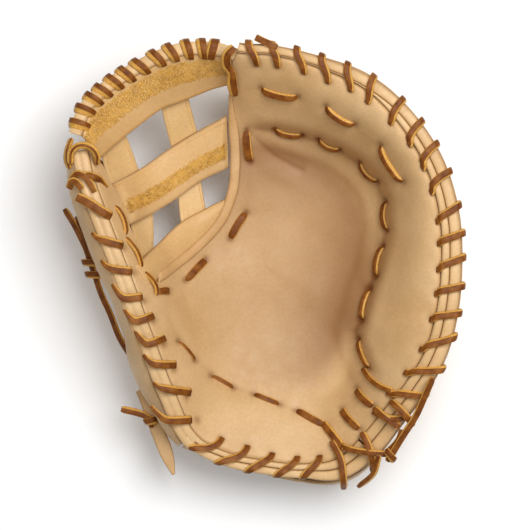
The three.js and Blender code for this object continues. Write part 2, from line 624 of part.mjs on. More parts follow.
// Web, as edges in plan shares from the finger side to the thumb: a is the upper edge, b the lower one
const WEB_TOP = [
  { ax: -0.178, ay: 0.895, bx: -0.182, by: 0.8 },
  { ax: -0.25, ay: 0.92, bx: -0.263, by: 0.78 },
  { ax: -0.342, ay: 0.925, bx: -0.352, by: 0.75 },
  { ax: -0.43, ay: 0.917, bx: -0.44, by: 0.722 },
  { ax: -0.52, ay: 0.89, bx: -0.522, by: 0.693 },
  { ax: -0.63, ay: 0.842, bx: -0.6, by: 0.645 },
  { ax: -0.725, ay: 0.79, bx: -0.685, by: 0.583 },
  { ax: -0.803, ay: 0.733, bx: -0.75, by: 0.53 },
  { ax: -0.868, ay: 0.665, bx: -0.79, by: 0.497 },
  { ax: -0.908, ay: 0.562, bx: -0.818, by: 0.468 },
];
const WEB_MIDDLE = [
  { ax: -0.203, ay: 0.66, bx: -0.196, by: 0.438 },
  { ax: -0.33, ay: 0.604, bx: -0.33, by: 0.38 },
  { ax: -0.481, ay: 0.524, bx: -0.448, by: 0.304 },
  { ax: -0.61, ay: 0.44, bx: -0.55, by: 0.243 },
  { ax: -0.735, ay: 0.352, bx: -0.65, by: 0.178 },
];
const WEB_BOTTOM = [
  { ax: -0.232, ay: 0.298, bx: -0.262, by: 0.222 },
  { ax: -0.361, ay: 0.214, bx: -0.368, by: 0.12 },
  { ax: -0.47, ay: 0.15, bx: -0.45, by: 0.055 },
  { ax: -0.56, ay: 0.09, bx: -0.53, by: 0.0 },
];
// Posts from the upper bar to the lower one: a is the left edge, b the right one. drop is how far a
// post lies under the bars, in GAPs.
const POSTS = {
  web_post_upper_right: {
    drop: 3,
    rows: [
      { ax: -0.53, ay: 0.74, bx: -0.4, by: 0.78 },
      { ax: -0.498, ay: 0.62, bx: -0.367, by: 0.668 },
      { ax: -0.462, ay: 0.5, bx: -0.333, by: 0.555 },
    ],
  },
  web_post_upper_left: {
    drop: 4.6,
    rows: [
      { ax: -0.8, ay: 0.54, bx: -0.695, by: 0.61 },
      { ax: -0.765, ay: 0.43, bx: -0.650, by: 0.515 },
      { ax: -0.73, ay: 0.335, bx: -0.610, by: 0.41 },
    ],
  },
  web_post_lower_right: {
    drop: 3,
    rows: [
      { ax: -0.438, ay: 0.35, bx: -0.332, by: 0.415 },
      { ax: -0.423, ay: 0.25, bx: -0.312, by: 0.32 },
      { ax: -0.406, ay: 0.155, bx: -0.29, by: 0.215 },
    ],
  },
  web_post_lower_left: {
    drop: 4.6,
    rows: [
      { ax: -0.645, ay: 0.215, bx: -0.545, by: 0.265 },
      { ax: -0.628, ay: 0.165, bx: -0.540, by: 0.21 },
      { ax: -0.605, ay: 0.1, bx: -0.520, by: 0.13 },
    ],
  },
};

// Short laces that show on the palm, from a to b in plan shares
const CREASE_LACES = [
  { ax: -0.025, ay: 0.767, bx: 0.159, by: 0.729 },
  { ax: 0.298, ay: 0.688, bx: 0.44, by: 0.609 },
  { ax: 0.565, ay: 0.52, bx: 0.676, by: 0.359 },
  { ax: 0.046, ay: 0.599, bx: 0.184, by: 0.568 },
  { ax: 0.265, ay: 0.547, bx: 0.372, by: 0.504 },
  { ax: 0.469, ay: 0.449, bx: 0.555, by: 0.364 },
  { ax: 0.596, ay: 0.283, bx: 0.601, by: 0.157 },
  { ax: 0.582, ay: 0.09, bx: 0.546, by: -0.045 },
  { ax: 0.516, ay: -0.104, bx: 0.478, by: -0.246 },
  { ax: 0.466, ay: -0.334, bx: 0.513, by: -0.462 },
  { ax: -0.095, ay: 0.604, bx: -0.077, by: 0.468 },
  { ax: -0.098, ay: 0.238, bx: -0.18, by: 0.12 },
  { ax: -0.3, ay: 0.027, bx: -0.4, by: -0.068 },
  { ax: -0.479, ay: -0.118, bx: -0.535, by: -0.119, width: 0.8 },
  { ax: -0.43, ay: -0.339, bx: -0.347, by: -0.428, width: 0.5 },
  { ax: -0.267, ay: -0.499, bx: -0.16, by: -0.554, width: 0.7 },
  { ax: -0.057, ay: -0.582, bx: 0.077, by: -0.627, width: 0.8 },
  { ax: 0.16, ay: -0.654, bx: 0.305, by: -0.722 },
  { ax: 0.389, ay: -0.646, bx: 0.48, by: -0.735 },
  { ax: 0.46, ay: -0.554, bx: 0.545, by: -0.63 },
];

// The web's lacing along the thumb's inner edge, as laces that lie on the palm
const THUMB_LOOPS = {
  thumb_loop_upper: { ax: -0.733, ay: 0.245, bx: -0.688, by: 0.14, width: 0.5 },
  thumb_loop_middle: { ax: -0.672, ay: 0.1, bx: -0.618, by: 0.0, width: 0.5 },
  thumb_loop_lower: { ax: -0.612, ay: -0.03, bx: -0.556, by: -0.14, width: 0.6 },
};

// Loose straps and lace ends. x and y are plan shares and z is a share of RIM_HEIGHT; without z the
// strap lies on what is below it. wide and thick are shares of the lace's.
const STRAPS = {
  finger_joint_lace: [
    { x: -0.158, y: 0.95, z: 1.04, wide: 0.9, thick: 1 },
    { x: -0.186, y: 0.905, wide: 0.9, thick: 1 },
    { x: -0.186, y: 0.865, wide: 0.9, thick: 1 },
    { x: -0.164, y: 0.835, wide: 0.9, thick: 1 },
    { x: -0.16, y: 0.79, wide: 0.9, thick: 1 },
    { x: -0.153, y: 0.735, wide: 0.9, thick: 1 },
  ],
  thumb_tip_lace_outer: [
    { x: -0.955, y: 0.425, wide: 0.8, thick: 1 },
    { x: -0.964, y: 0.5, z: 1.0, wide: 0.8, thick: 1 },
    { x: -0.922, y: 0.532, z: 1.0, wide: 0.8, thick: 1 },
    { x: -0.866, y: 0.525, z: 1.0, wide: 0.8, thick: 1 },
    { x: -0.838, y: 0.49, z: 1.0, wide: 0.8, thick: 1 },
    { x: -0.83, y: 0.43, wide: 0.8, thick: 1 },
  ],
  thumb_tip_lace_inner: [
    { x: -0.915, y: 0.42, z: 0.984, wide: 0.7, thick: 1 },
    { x: -0.912, y: 0.475, z: 0.987, wide: 0.7, thick: 1 },
    { x: -0.88, y: 0.488, z: 0.99, wide: 0.7, thick: 1 },
    { x: -0.872, y: 0.425, wide: 0.7, thick: 1 },
  ],
  corner_lace_upper: [
    { x: 0.63, y: -0.6, wide: 1, thick: 1 },
    { x: 0.67, y: -0.632, z: 0.84, wide: 1, thick: 1 },
    { x: 0.72, y: -0.68, z: 0.82, wide: 1, thick: 1 },
    { x: 0.745, y: -0.71, z: 0.74, wide: 1, thick: 1 },
  ],
  corner_lace_middle: [
    { x: 0.55, y: -0.635, wide: 1, thick: 1 },
    { x: 0.6, y: -0.672, z: 0.77, wide: 1, thick: 1 },
    { x: 0.675, y: -0.715, z: 0.77, wide: 1, thick: 1 },
  ],
  corner_lace_lower: [
    { x: 0.49, y: -0.745, wide: 1, thick: 1 },
    { x: 0.52, y: -0.8, z: 0.68, wide: 1, thick: 1 },
    { x: 0.545, y: -0.875, z: 0.66, wide: 1, thick: 1 },
    { x: 0.55, y: -0.925, z: 0.57, wide: 1, thick: 1 },
  ],
  corner_lace_heel: [
    { x: 0.34, y: -0.79, wide: 1, thick: 1 },
    { x: 0.385, y: -0.87, z: 0.6, wide: 1, thick: 1 },
    { x: 0.4, y: -0.965, z: 0.59, wide: 1, thick: 1 },
    { x: 0.405, y: -1.01, z: 0.48, wide: 1, thick: 1 },
  ],
  long_strap: [
    { x: 0.83, y: -0.49, z: 0.96, wide: 0.9, thick: 1 },
    { x: 0.79, y: -0.58, z: 0.91, wide: 0.9, thick: 1 },
    { x: 0.75, y: -0.665, z: 0.86, wide: 0.9, thick: 1 },
    { x: 0.69, y: -0.755, z: 0.8, wide: 0.9, thick: 1 },
    { x: 0.645, y: -0.825, z: 0.76, wide: 0.9, thick: 1 },
    { x: 0.63, y: -0.845, z: 0.75, wide: 1.5, thick: 2.4 },
    { x: 0.615, y: -0.87, z: 0.74, wide: 0.8, thick: 1 },
  ],
  corner_lace_end: [
    { x: 0.576, y: -0.845, z: 0.704, wide: 0.8, thick: 1 },
    { x: 0.55, y: -0.93, z: 0.641, wide: 0.8, thick: 1 },
    { x: 0.478, y: -1.0, z: 0.52, wide: 0.8, thick: 1 },
  ],
  strap_tab: [
    { x: -0.634, y: -0.565, z: 0.36, wide: 2.1, thick: 1.4 },
    { x: -0.594, y: -0.65, z: 0.38, wide: 2.1, thick: 1.4 },
    { x: -0.554, y: -0.75, z: 0.41, wide: 2.1, thick: 1.4 },
    { x: -0.504, y: -0.86, z: 0.43, wide: 2.0, thick: 1.4 },
    { x: -0.469, y: -0.95, z: 0.44, wide: 0.6, thick: 1.4 },
  ],
  strap_lace_end: [
    { x: -0.74, y: -0.653, z: 0.436, wide: 1, thick: 1 },
    { x: -0.65, y: -0.672, z: 0.428, wide: 1, thick: 1 },
    { x: -0.605, y: -0.69, z: 0.428, wide: 0.9, thick: 1 },
    { x: -0.588, y: -0.708, z: 0.432, wide: 1.5, thick: 2.4 },
    { x: -0.575, y: -0.735, z: 0.428, wide: 0.8, thick: 1 },
  ],
  thumb_strand: [
    { x: -0.994, y: 0.25, z: 0.52, wide: 0.8, thick: 1 },
    { x: -0.944, y: 0.15, z: 0.52, wide: 0.8, thick: 1 },
    { x: -0.894, y: 0.055, z: 0.51, wide: 0.8, thick: 1 },
    { x: -0.859, y: 0.0, z: 0.5, wide: 1.0, thick: 1.2 },
    { x: -0.849, y: -0.04, z: 0.5, wide: 2.2, thick: 3 },
    { x: -0.839, y: -0.1, z: 0.5, wide: 1.0, thick: 1.2 },
    { x: -0.784, y: -0.21, z: 0.48, wide: 0.9, thick: 1 },
    { x: -0.714, y: -0.35, z: 0.46, wide: 0.9, thick: 1 },
    { x: -0.649, y: -0.48, z: 0.44, wide: 0.9, thick: 1 },
  ],
  thumb_strand_short: [
    { x: -0.925, y: 0.215, z: 0.52, wide: 0.8, thick: 1 },
    { x: -0.885, y: 0.11, z: 0.52, wide: 0.8, thick: 1 },
    { x: -0.837, y: 0.032, z: 0.515, wide: 0.8, thick: 1 },
  ],
};

// A flat strap along a table's rows, lying flat across its way
function strap(rows) {
  const plan = rows.map((r) => new THREE.Vector3(r.x * HALF_X, r.y * HALF_Y, 0));
  return rope(
    rows.map((r, i) => {
      const way = plan[Math.min(i + 1, rows.length - 1)].clone().sub(plan[Math.max(i - 1, 0)]).normalize();
      const side = new THREE.Vector3(-way.y, way.x, 0);
      return [
        [-1, 0],
        [1, 0],
        [1, 1],
        [-1, 1],
      ].map(([w, h]) => {
        const across = (v) => plan[i].clone().addScaledVector(side, (v * r.wide * LACE_WIDTH) / 2);
        const under = [-1, 0, 1].map((v) => topOfMitt(across(v).x, across(v).y));
        const foot = r.z ? r.z * RIM_HEIGHT : Math.max(...under) + 2.6 * GAP;
        return across(w).setZ(foot + (h - (r.z ? 0.5 : 0)) * r.thick * LACE_THICK);
      });
    }),
  );
}
function topOfMitt(x, y) {
  ray.set(new THREE.Vector3(x, y, 400), new THREE.Vector3(0, 0, -1));
  const hit = ray.intersectObjects(mitt.children)[0];
  return hit ? hit.point.z : bowl(x, y);
}

const fingerRoom = (t) => rim.band(t) * BAND_WIDTH;
const heelRoom = () => 2 * GAP + 2 * HEEL_ROLL;
const webOuter = columns(WEB_TOP, WEB_TOP.map((r, i) => i), ["ax", "ay"]);
const webFrames = edgeFrames(
  steps((WEB_TOP.length - 1) * 2, 0, WEB_TOP.length - 1).map((u) =>
    onBowl(webOuter.ax(u) * HALF_X, webOuter.ay(u) * HALF_Y),
  ),
  -1,
);
const webEdge = (row) => webFrames(row * 2);
const paths = {
  finger_lace: whip(FINGER_STITCHES, rimFrame, fingerRoom, palmWall, throughBack(0.09)),
  heel_lace: whip(HEEL_STITCHES, rimFrame, heelRoom, palmWall, roundEdge(heelRoom, BINDING_DEPTH)),
  thumb_lace: whip(THUMB_STITCHES, rimFrame, fingerRoom, palmWall, throughBack(0.1)),
  web_lace: whip(
    WEB_STITCHES,
    webEdge,
    () => WEB_BINDING,
    () => WEB_WALL,
    roundEdge(() => WEB_BINDING, 5),
  ),
};

const FLATNESS = 0.25; // how far a pierced piece may be smoothed into larger triangles

// Holes: what a slightly wider lace on the same path takes away
const toManifold = (g) =>
  new wasm.Manifold(
    new wasm.Mesh({
      numProp: 3,
      vertProperties: new Float32Array(g.attributes.position.array),
      triVerts: new Uint32Array(g.index.array),
    }),
  );
function fromManifold(body) {
  const m = body.simplify(FLATNESS).getMesh();
  const g = new THREE.BufferGeometry();
  g.setAttribute("position", new THREE.Float32BufferAttribute(Array.from(m.vertProperties), 3));
  g.setIndex(Array.from(m.triVerts));
  g.computeVertexNormals();
  return g;
}
// first is the point of each stitch at which it enters the leather; it leaves at the next one.
function pierced(geometry, names, first) {
  let body = toManifold(geometry);
  for (const name of names)
    for (let i = first; i < paths[name].length - 1; i += STITCH_POINTS) {
      const [a, b] = [paths[name][i], paths[name][i + 1]];
      const beyond = b.at.clone().sub(a.at).normalize().multiplyScalar(1.2);
      const cut = [
        { at: a.at.clone().sub(beyond), side: a.side },
        { at: b.at.clone().add(beyond), side: b.side },
      ];
      body = body.subtract(toManifold(lace(cut, LACE_WIDTH + 2 * GAP, LACE_THICK + 2 * GAP)));
    }
  return fromManifold(body);
}

add("palm", pierced(palm(), ["finger_lace", "heel_lace", "thumb_lace"], ENTERS_TOP), LEATHER);
add("finger_binding_inner", rimRoll(TURN.fingerTip, TURN.fingerEnd, () => GAP, fingerInner), BINDING);
add(
  "finger_binding_outer",
  rimRoll(TURN.fingerTip, TURN.fingerEnd, (t) => fingerInner(t) + GAP, fingerOuter),
  BINDING,
);
add("heel_binding_inner", rimRoll(TURN.heelStart, TURN.heelEnd, () => GAP, () => GAP + HEEL_ROLL), BINDING);
add(
  "heel_binding_outer",
  rimRoll(TURN.heelStart, TURN.heelEnd, () => 2 * GAP + HEEL_ROLL, () => 2 * GAP + 2 * HEEL_ROLL),
  BINDING,
);
add("thumb_binding", rimRoll(TURN.thumbStart, TURN.thumbTip, () => GAP, () => GAP + THUMB_ROLL), BINDING);
add("crotch_binding", piping(), BINDING);
add("finger_back", pierced(backPanel(TURN.fingerTip, TURN.fingerEnd, 8), ["finger_lace"], ENTERS_BACK), LEATHER);
add("wrist_strap", backPanel(TURN.heelStart, TURN.heelEnd, 8), LEATHER);
add("thumb_back", pierced(backPanel(TURN.thumbStart, TURN.thumbTip, 8), ["thumb_lace"], ENTERS_BACK), LEATHER);
add("web_top_bar", pierced(webWall(WEB_TOP, 2, WEB_WALL, 1), ["web_lace"], ENTERS_TOP), LEATHER);
add("web_middle_bar", webWall(WEB_MIDDLE, 4, WEB_WALL, 3), LEATHER);
add("web_bottom_bar", webWall(WEB_BOTTOM, 3, WEB_WALL, 2), LEATHER);
for (const [name, { drop, rows }] of Object.entries(POSTS))
  add(name, webWall(rows, 1, POST_WALL, 0, -WEB_WALL - drop * GAP), LEATHER);
add(
  "web_top_binding",
  rope(
    steps(18, 0, 9).map((place) => {
      const { at, out } = webEdge(place);
      return [
        [0.24, -5],
        [0.07, 0.5],
        [0.3, BINDING_TOP],
        [0.7, BINDING_TOP - 0.3],
        [0.96, -0.5],
        [0.96, -4],
        [0.7, -5],
      ].map(([w, h]) => at.clone().addScaledVector(out, w * WEB_BINDING).add(new THREE.Vector3(0, 0, h)));
    }),
  ),
  BINDING,
);
for (const [name, path] of Object.entries(paths)) add(name, lace(path, LACE_WIDTH, LACE_THICK), LACE);
for (const [name, row] of Object.entries(THUMB_LOOPS)) add(name, laid(row), LACE);
CREASE_LACES.forEach((row, i) => add(`crease_lace_${i + 1}`, laid(row), LACE));
for (const [name, rows] of Object.entries(STRAPS)) add(name, strap(rows), name === "strap_tab" ? LEATHER : LACE);

// Stand the mitt on the table with the origin under its middle
const box = new THREE.Box3().setFromObject(mitt);
const middle = box.getCenter(new THREE.Vector3());
for (const mesh of mitt.children) mesh.geometry.translate(-middle.x, -middle.y, -box.min.z);

export default mitt;
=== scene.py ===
"""A first baseman's mitt of laced tan cowhide, lying on its back with the pocket up.

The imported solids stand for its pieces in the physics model. Each is shown here as a finer piece of the
same form: padded and creased leather, rolled bindings, rawhide laces with pale cut edges, and thread.
Lengths are in millimetres until a mesh is made, which is in metres.
"""

import logging
import math
from dataclasses import dataclass
from enum import Enum
from functools import reduce
from typing import Callable

import bpy
import numpy as np
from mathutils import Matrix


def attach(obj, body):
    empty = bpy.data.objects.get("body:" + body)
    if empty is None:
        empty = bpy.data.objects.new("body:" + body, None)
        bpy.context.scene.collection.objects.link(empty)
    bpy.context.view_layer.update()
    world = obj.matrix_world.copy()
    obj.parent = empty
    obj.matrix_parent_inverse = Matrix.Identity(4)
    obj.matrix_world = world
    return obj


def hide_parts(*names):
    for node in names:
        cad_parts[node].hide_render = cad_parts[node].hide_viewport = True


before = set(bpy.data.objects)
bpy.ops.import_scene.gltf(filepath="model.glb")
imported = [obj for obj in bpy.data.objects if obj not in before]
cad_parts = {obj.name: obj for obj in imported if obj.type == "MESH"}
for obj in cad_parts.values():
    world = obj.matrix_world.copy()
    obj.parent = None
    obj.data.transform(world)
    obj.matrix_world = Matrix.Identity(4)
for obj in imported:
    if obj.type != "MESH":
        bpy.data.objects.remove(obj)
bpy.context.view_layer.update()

LOG = logging.getLogger("mitt")

Array = np.ndarray
Tree = bpy.types.NodeTree
Socket = bpy.types.NodeSocket

# Sizes, millimetres
HALF_X = 142.0  # half the mitt's width, which plan shares of x refer to
HALF_Y = 161.0  # half its length, which plan shares of y refer to
RIM_HEIGHT = 116.0  # palm edge above the table on the finger side
POCKET_HEIGHT = 36.0  # palm surface above the table at its lowest
PALM_LEATHER = 4.0  # palm wall in the pocket
PALM_STUFFING = 11.0  # felt added under the pads
PALM_EDGE = 7.0  # palm wall where the rim is laced
BACK_WALL = 3.0  # back leather with its lining
BAND_WIDTH = 15.0  # all that lies outside the palm's edge on the finger side
GAP = 0.4  # clear space between two pieces of leather
BINDING_TOP = 1.6  # how far a rolled binding stands above the palm's edge
BINDING_DEPTH = 8.0  # how far it reaches below
THUMB_ROLL = 9.0  # width of the roll along the thumb
HEEL_ROLL = 4.0  # width of each roll along the heel
CORNER_REACH = 1.6  # how far the heel and thumb rolls run past their solids to meet, degrees
CROTCH_BINDING = 6.4  # width of the piping along the palm's edge at the web
CREASE_RISE = 0.15  # how far the pocket has risen at the foot of the pads, as a share
WEB_WALL = 4.0  # leather of the web's bars
WEB_BINDING = 9.5  # width of the folded leather along the web's upper edge
POST_WALL = 2.6  # leather of the web's posts
LACE_WIDTH = 5.4
LACE_THICK = 1.8
# A lace's middle above the palm's edge, where it crosses a roll
LACE_OVER = BINDING_TOP + LACE_THICK / 2 + 0.35
METRE = 1000.0
CENTRE = np.array([0.701, 0.535, 0.0])  # what puts the middle of the mitt's box on the origin

# Degrees of turn round the rim at which the pieces along it start and end
FINGER_TIP, FINGER_END = 98.5, -58.0
HEEL_START, HEEL_END = -59.0, -114.0
THUMB_START, THUMB_TIP = -115.0, -210.0

# The palm's edge, anticlockwise from the little finger side: x and y as plan shares, rise as a share of
# RIM_HEIGHT, pad as a share of a full pad, crease as where its foot lies, band as a share of BAND_WIDTH
RIM = np.array([
    (0.868, 0.0, 1.0, 1.0, 0.62, 1.0), (0.86, 0.204, 1.02, 1.0, 0.67, 0.95),
    (0.799, 0.404, 1.04, 1.0, 0.72, 0.92), (0.675, 0.591, 1.05, 1.0, 0.71, 0.88),
    (0.498, 0.757, 1.04, 1.0, 0.67, 0.68), (0.261, 0.857, 1.02, 0.9, 0.66, 0.54),
    (0.0, 0.915, 1.0, 0.6, 0.66, 0.5), (-0.143, 0.926, 0.98, 0.3, 0.7, 0.5),
    (-0.3, 0.98, 0.95, 0.0, 0.75, 0.6), (-0.567, 0.939, 0.91, 0.0, 0.75, 0.6),
    (-0.78, 0.81, 0.9, 0.0, 0.75, 0.6), (-0.88, 0.61, 0.93, 0.0, 0.75, 0.7),
    (-0.855, 0.42, 0.96, 0.1, 0.75, 0.86), (-0.794, 0.26, 0.97, 0.2, 0.75, 0.86),
    (-0.73, 0.109, 0.97, 0.3, 0.72, 0.86), (-0.665, -0.04, 0.95, 0.3, 0.7, 0.86),
    (-0.605, -0.19, 0.91, 0.35, 0.7, 0.86), (-0.537, -0.36, 0.83, 0.4, 0.7, 0.86),
    (-0.454, -0.56, 0.73, 0.45, 0.68, 0.86), (-0.34, -0.765, 0.62, 0.5, 0.66, 0.86),
    (-0.182, -0.843, 0.57, 0.5, 0.64, 0.62), (-0.0, -0.878, 0.55, 0.5, 0.64, 0.62),
    (0.187, -0.895, 0.54, 0.5, 0.66, 0.8), (0.365, -0.87, 0.56, 0.55, 0.7, 1.15),
    (0.498, -0.757, 0.63, 0.7, 0.76, 1.25), (0.6, -0.64, 0.73, 0.85, 0.74, 1.15),
    (0.7, -0.52, 0.83, 1.0, 0.64, 1.1), (0.79, -0.38, 0.92, 1.0, 0.58, 1.08),
    (0.848, -0.19, 0.97, 1.0, 0.59, 1.05),
])
RISE, PAD, CREASE, BAND, REACH = 2, 3, 4, 5, 6  # columns of RIM, and one that is worked out from x and y
# The palm's inner edge from the finger tip round the web to the thumb's tip: x, y as plan shares
CROTCH = np.array([
    (-0.163, 0.883), (-0.165, 0.739), (-0.135, 0.587), (-0.131, 0.435), (-0.15, 0.317), (-0.212, 0.187),
    (-0.33, 0.07), (-0.45, -0.02), (-0.535, -0.075), (-0.577, -0.04), (-0.626, 0.065), (-0.685, 0.187),
    (-0.749, 0.317), (-0.808, 0.437),
])
# Which row of CROTCH faces which turn of the rim
RULINGS = np.array([
    (98.5, 0.0), (75.0, 1.2), (45.0, 2.5), (0.0, 4.0), (-45.0, 5.1), (-90.0, 6.1), (-120.0, 7.1),
    (-150.0, 8.2), (-170.0, 9.4), (-188.0, 11.2), (-208.0, 13.0),
])[::-1]
# The back's sections: turn, x and y of the panel's inner edge as plan shares, edge, sole and top heights
# as shares of RIM_HEIGHT, bulge and flare as shares of BAND_WIDTH
BACK = np.array([
    (98.5, -0.13, 0.83, 0.56, 0.42, 0.96, 0.0, 0.5), (80, -0.13, 0.7, 0.42, 0.16, 1.0, 0.0, 0.5),
    (60, -0.12, 0.56, 0.34, 0.04, 1.02, 0.0, 0.68), (40, -0.11, 0.435, 0.29, 0.0, 1.03, 0.0, 0.88),
    (15, -0.12, 0.3, 0.26, 0.0, 1.01, 0.0, 0.95), (-8, -0.22, 0.12, 0.26, 0.0, 0.98, 0.0, 1.02),
    (-22, -0.27, -0.06, 0.2, 0.0, 0.93, 0.0, 1.06), (-33, -0.19, -0.24, 0.08, 0.0, 0.86, 0.0, 1.08),
    (-42, 0.02, -0.35, 0.05, 0.0, 0.78, 0.0, 1.12), (-50, 0.24, -0.42, 0.05, 0.0, 0.68, 0.0, 1.18),
    (-58, 0.37, -0.52, 0.06, 0.0, 0.6, 0.0, 1.25), (-66, 0.33, -0.63, 0.05, 0.0, 0.3, 0.0, 1.35),
    (-75, 0.2, -0.66, 0.04, 0.0, 0.1, 0.0, 1.25), (-90, 0.0, -0.65, 0.04, 0.0, 0.06, 0.0, 0.75),
    (-102, -0.14, -0.62, 0.05, 0.01, 0.1, 0.0, 0.6), (-110, -0.24, -0.58, 0.07, 0.03, 0.28, 0.1, 0.7),
    (-115.5, -0.31, -0.5, 0.09, 0.05, 0.6, 0.3, 0.86), (-130, -0.32, -0.37, 0.11, 0.07, 0.71, 0.5, 0.86),
    (-148, -0.32, -0.22, 0.14, 0.1, 0.85, 0.55, 0.86), (-162, -0.36, -0.1, 0.27, 0.16, 0.92, 0.5, 0.86),
    (-174, -0.52, -0.06, 0.44, 0.24, 0.95, 0.45, 0.86), (-186, -0.605, 0.07, 0.56, 0.34, 0.96, 0.4, 0.86),
    (-196, -0.685, 0.23, 0.62, 0.42, 0.96, 0.3, 0.86), (-208, -0.78, 0.41, 0.66, 0.5, 0.95, 0.2, 0.86),
])[::-1]

# Where the back's leather sags outwards: the turn, how far in millimetres, how many degrees it spreads over
BELLIES = ((-186, 3.6, 16), (-138, 4.5, 13), (-88, 3.2, 16), (-64, 2.0, 6), (-201, 4.0, 8))
# Stations of the back's section from the rim down and under: shares of the flare, of the bulge, of the belly,
# of the run to the panel's inner edge, of the drop from top to sole, and of the edge's rise over the sole
SECTION = (
    (1.0, 0.0, 0.0, 0.0, 1.0, 0.0), (1.0, 0.7, 0.55, 0.0, 0.86, 0.0), (1.0, 1.0, 1.0, 0.0, 0.64, 0.0),
    (0.75, 0.7, 0.8, 0.0, 0.38, 0.0), (0.1, 0.0, 0.0, 0.03, 0.14, 0.0), (0.0, 0.0, 0.0, 0.16, 0.02, 0.0),
    (0.0, 0.0, 0.0, 0.32, 0.0, 0.0), (0.0, 0.0, 0.0, 0.7, 0.0, 0.0), (0.0, 0.0, 0.0, 0.87, 0.0, 0.35),
    (0.0, 0.0, 0.0, 1.0, 0.0, 1.0),
)

# Rim stitches: the turn where each leaves the outside, the turn of its hole in the palm, how far in the
# hole lies as a share of BAND_WIDTH, and how far its pale cut edge shows towards the next turn down
FINGER_STITCHES = np.array([
    (95.2, 92.3, 0.48, 0.22), (88.2, 85.4, 0.46, 0.22), (80.9, 76.6, 0.44, 0.24), (73.1, 68.5, 0.48, 0.24),
    (65.0, 60.7, 0.4, 0.24), (57.2, 54.0, 0.4, 0.24), (47.5, 44.5, 0.3, 0.24), (39.7, 35.9, 0.16, 0.24),
    (32.5, 28.1, 0.12, 0.22), (24.8, 20.7, 0.14, 0.18), (16.1, 12.6, 0.14, -0.18), (8.9, 6.3, 0.14, -0.2),
    (2.5, -1.2, 0.14, -0.2), (-5.4, -8.2, 0.14, -0.2), (-12.6, -15.8, 0.16, -0.2),
    (-19.0, -25.2, 0.2, -0.22), (-27.6, -33.7, 0.28, -0.24), (-36.0, -41.9, 0.34, -0.28),
])
HEEL_STITCHES = np.array([
    (-78.1, -72.5, 0.3, 0.16), (-85.8, -79.7, 0.3, 0.16), (-95.3, -88.1, 0.34, 0.18),
    (-104.8, -96.8, 0.5, 0.2), (-113.4, -106.5, 0.5, 0.22),
])
THUMB_STITCHES = np.array([
    (-122.6, -118.0, 0.45, 0.24), (-132.0, -125.8, 0.44, 0.24), (-142.6, -136.0, 0.37, 0.26),
    (-155.1, -146.1, 0.33, 0.28), (-164.2, -156.4, 0.25, 0.3), (-174.0, -165.2, 0.16, 0.3),
    (-183.4, -176.7, 0.16, 0.28), (-192.0, -185.6, 0.14, 0.28),
])
RIM_STITCHES = np.concatenate([FINGER_STITCHES, HEEL_STITCHES, THUMB_STITCHES])
# The same along the web's upper edge, where rows of WEB_TOP stand for turns
WEB_STITCHES = np.array([
    (1.12, 1.22, 0.14, 0.22), (1.78, 1.6, 0.14, 0.34), (2.6, 2.38, 0.14, 0.36), (3.5, 3.2, 0.14, 0.38),
    (4.25, 3.95, 0.14, 0.38), (5.0, 4.68, 0.14, 0.4), (5.65, 5.38, 0.14, 0.42), (6.28, 6.03, 0.14, 0.44),
    (6.95, 6.72, 0.14, 0.46), (7.52, 7.34, 0.14, 0.46), (8.05, 7.98, 0.16, 0.46), (8.6, 8.6, 0.18, 0.46),
])
# Short laces on the palm: ends a and b in plan shares, width as a share, how far the cut edge shows
CREASE_LACES = np.array([
    (-0.025, 0.767, 0.159, 0.729, 1.0, 0.14), (0.298, 0.688, 0.44, 0.609, 1.0, 0.3),
    (0.565, 0.52, 0.676, 0.359, 1.0, 0.34), (0.046, 0.599, 0.184, 0.568, 0.8, 0.2),
    (0.265, 0.547, 0.372, 0.504, 0.7, 0.24), (0.469, 0.449, 0.555, 0.364, 0.7, 0.26),
    (0.596, 0.283, 0.601, 0.157, 0.8, 0.2), (0.582, 0.09, 0.546, -0.045, 0.8, 0.24),
    (0.516, -0.104, 0.478, -0.246, 0.8, 0.26), (0.466, -0.334, 0.513, -0.462, 0.8, 0.3),
    (-0.095, 0.604, -0.077, 0.468, 1.15, 0.14), (-0.098, 0.238, -0.18, 0.12, 1.15, 0.1),
    (-0.3, 0.027, -0.4, -0.068, 1.1, 0.1), (-0.479, -0.118, -0.535, -0.119, 0.95, 0.0),
    (-0.43, -0.339, -0.347, -0.428, 0.4, 0.2), (-0.267, -0.499, -0.16, -0.554, 0.6, 0.2),
    (-0.057, -0.582, 0.077, -0.627, 0.75, 0.2), (0.16, -0.654, 0.305, -0.722, 1.0, 0.12),
    (0.389, -0.646, 0.48, -0.735, 1.0, 0.14), (0.46, -0.554, 0.545, -0.63, 1.0, 0.14),
])
# The same for the loops along the thumb, by name
THUMB_LOOPS = {
    "thumb_loop_upper": (-0.746, 0.262, -0.69, 0.13, 0.8, 0.3),
    "thumb_loop_middle": (-0.694, 0.124, -0.613, -0.018, 0.8, 0.3),
    "thumb_loop_lower": (-0.613, -0.026, -0.536, -0.137, 0.8, 0.3),
}
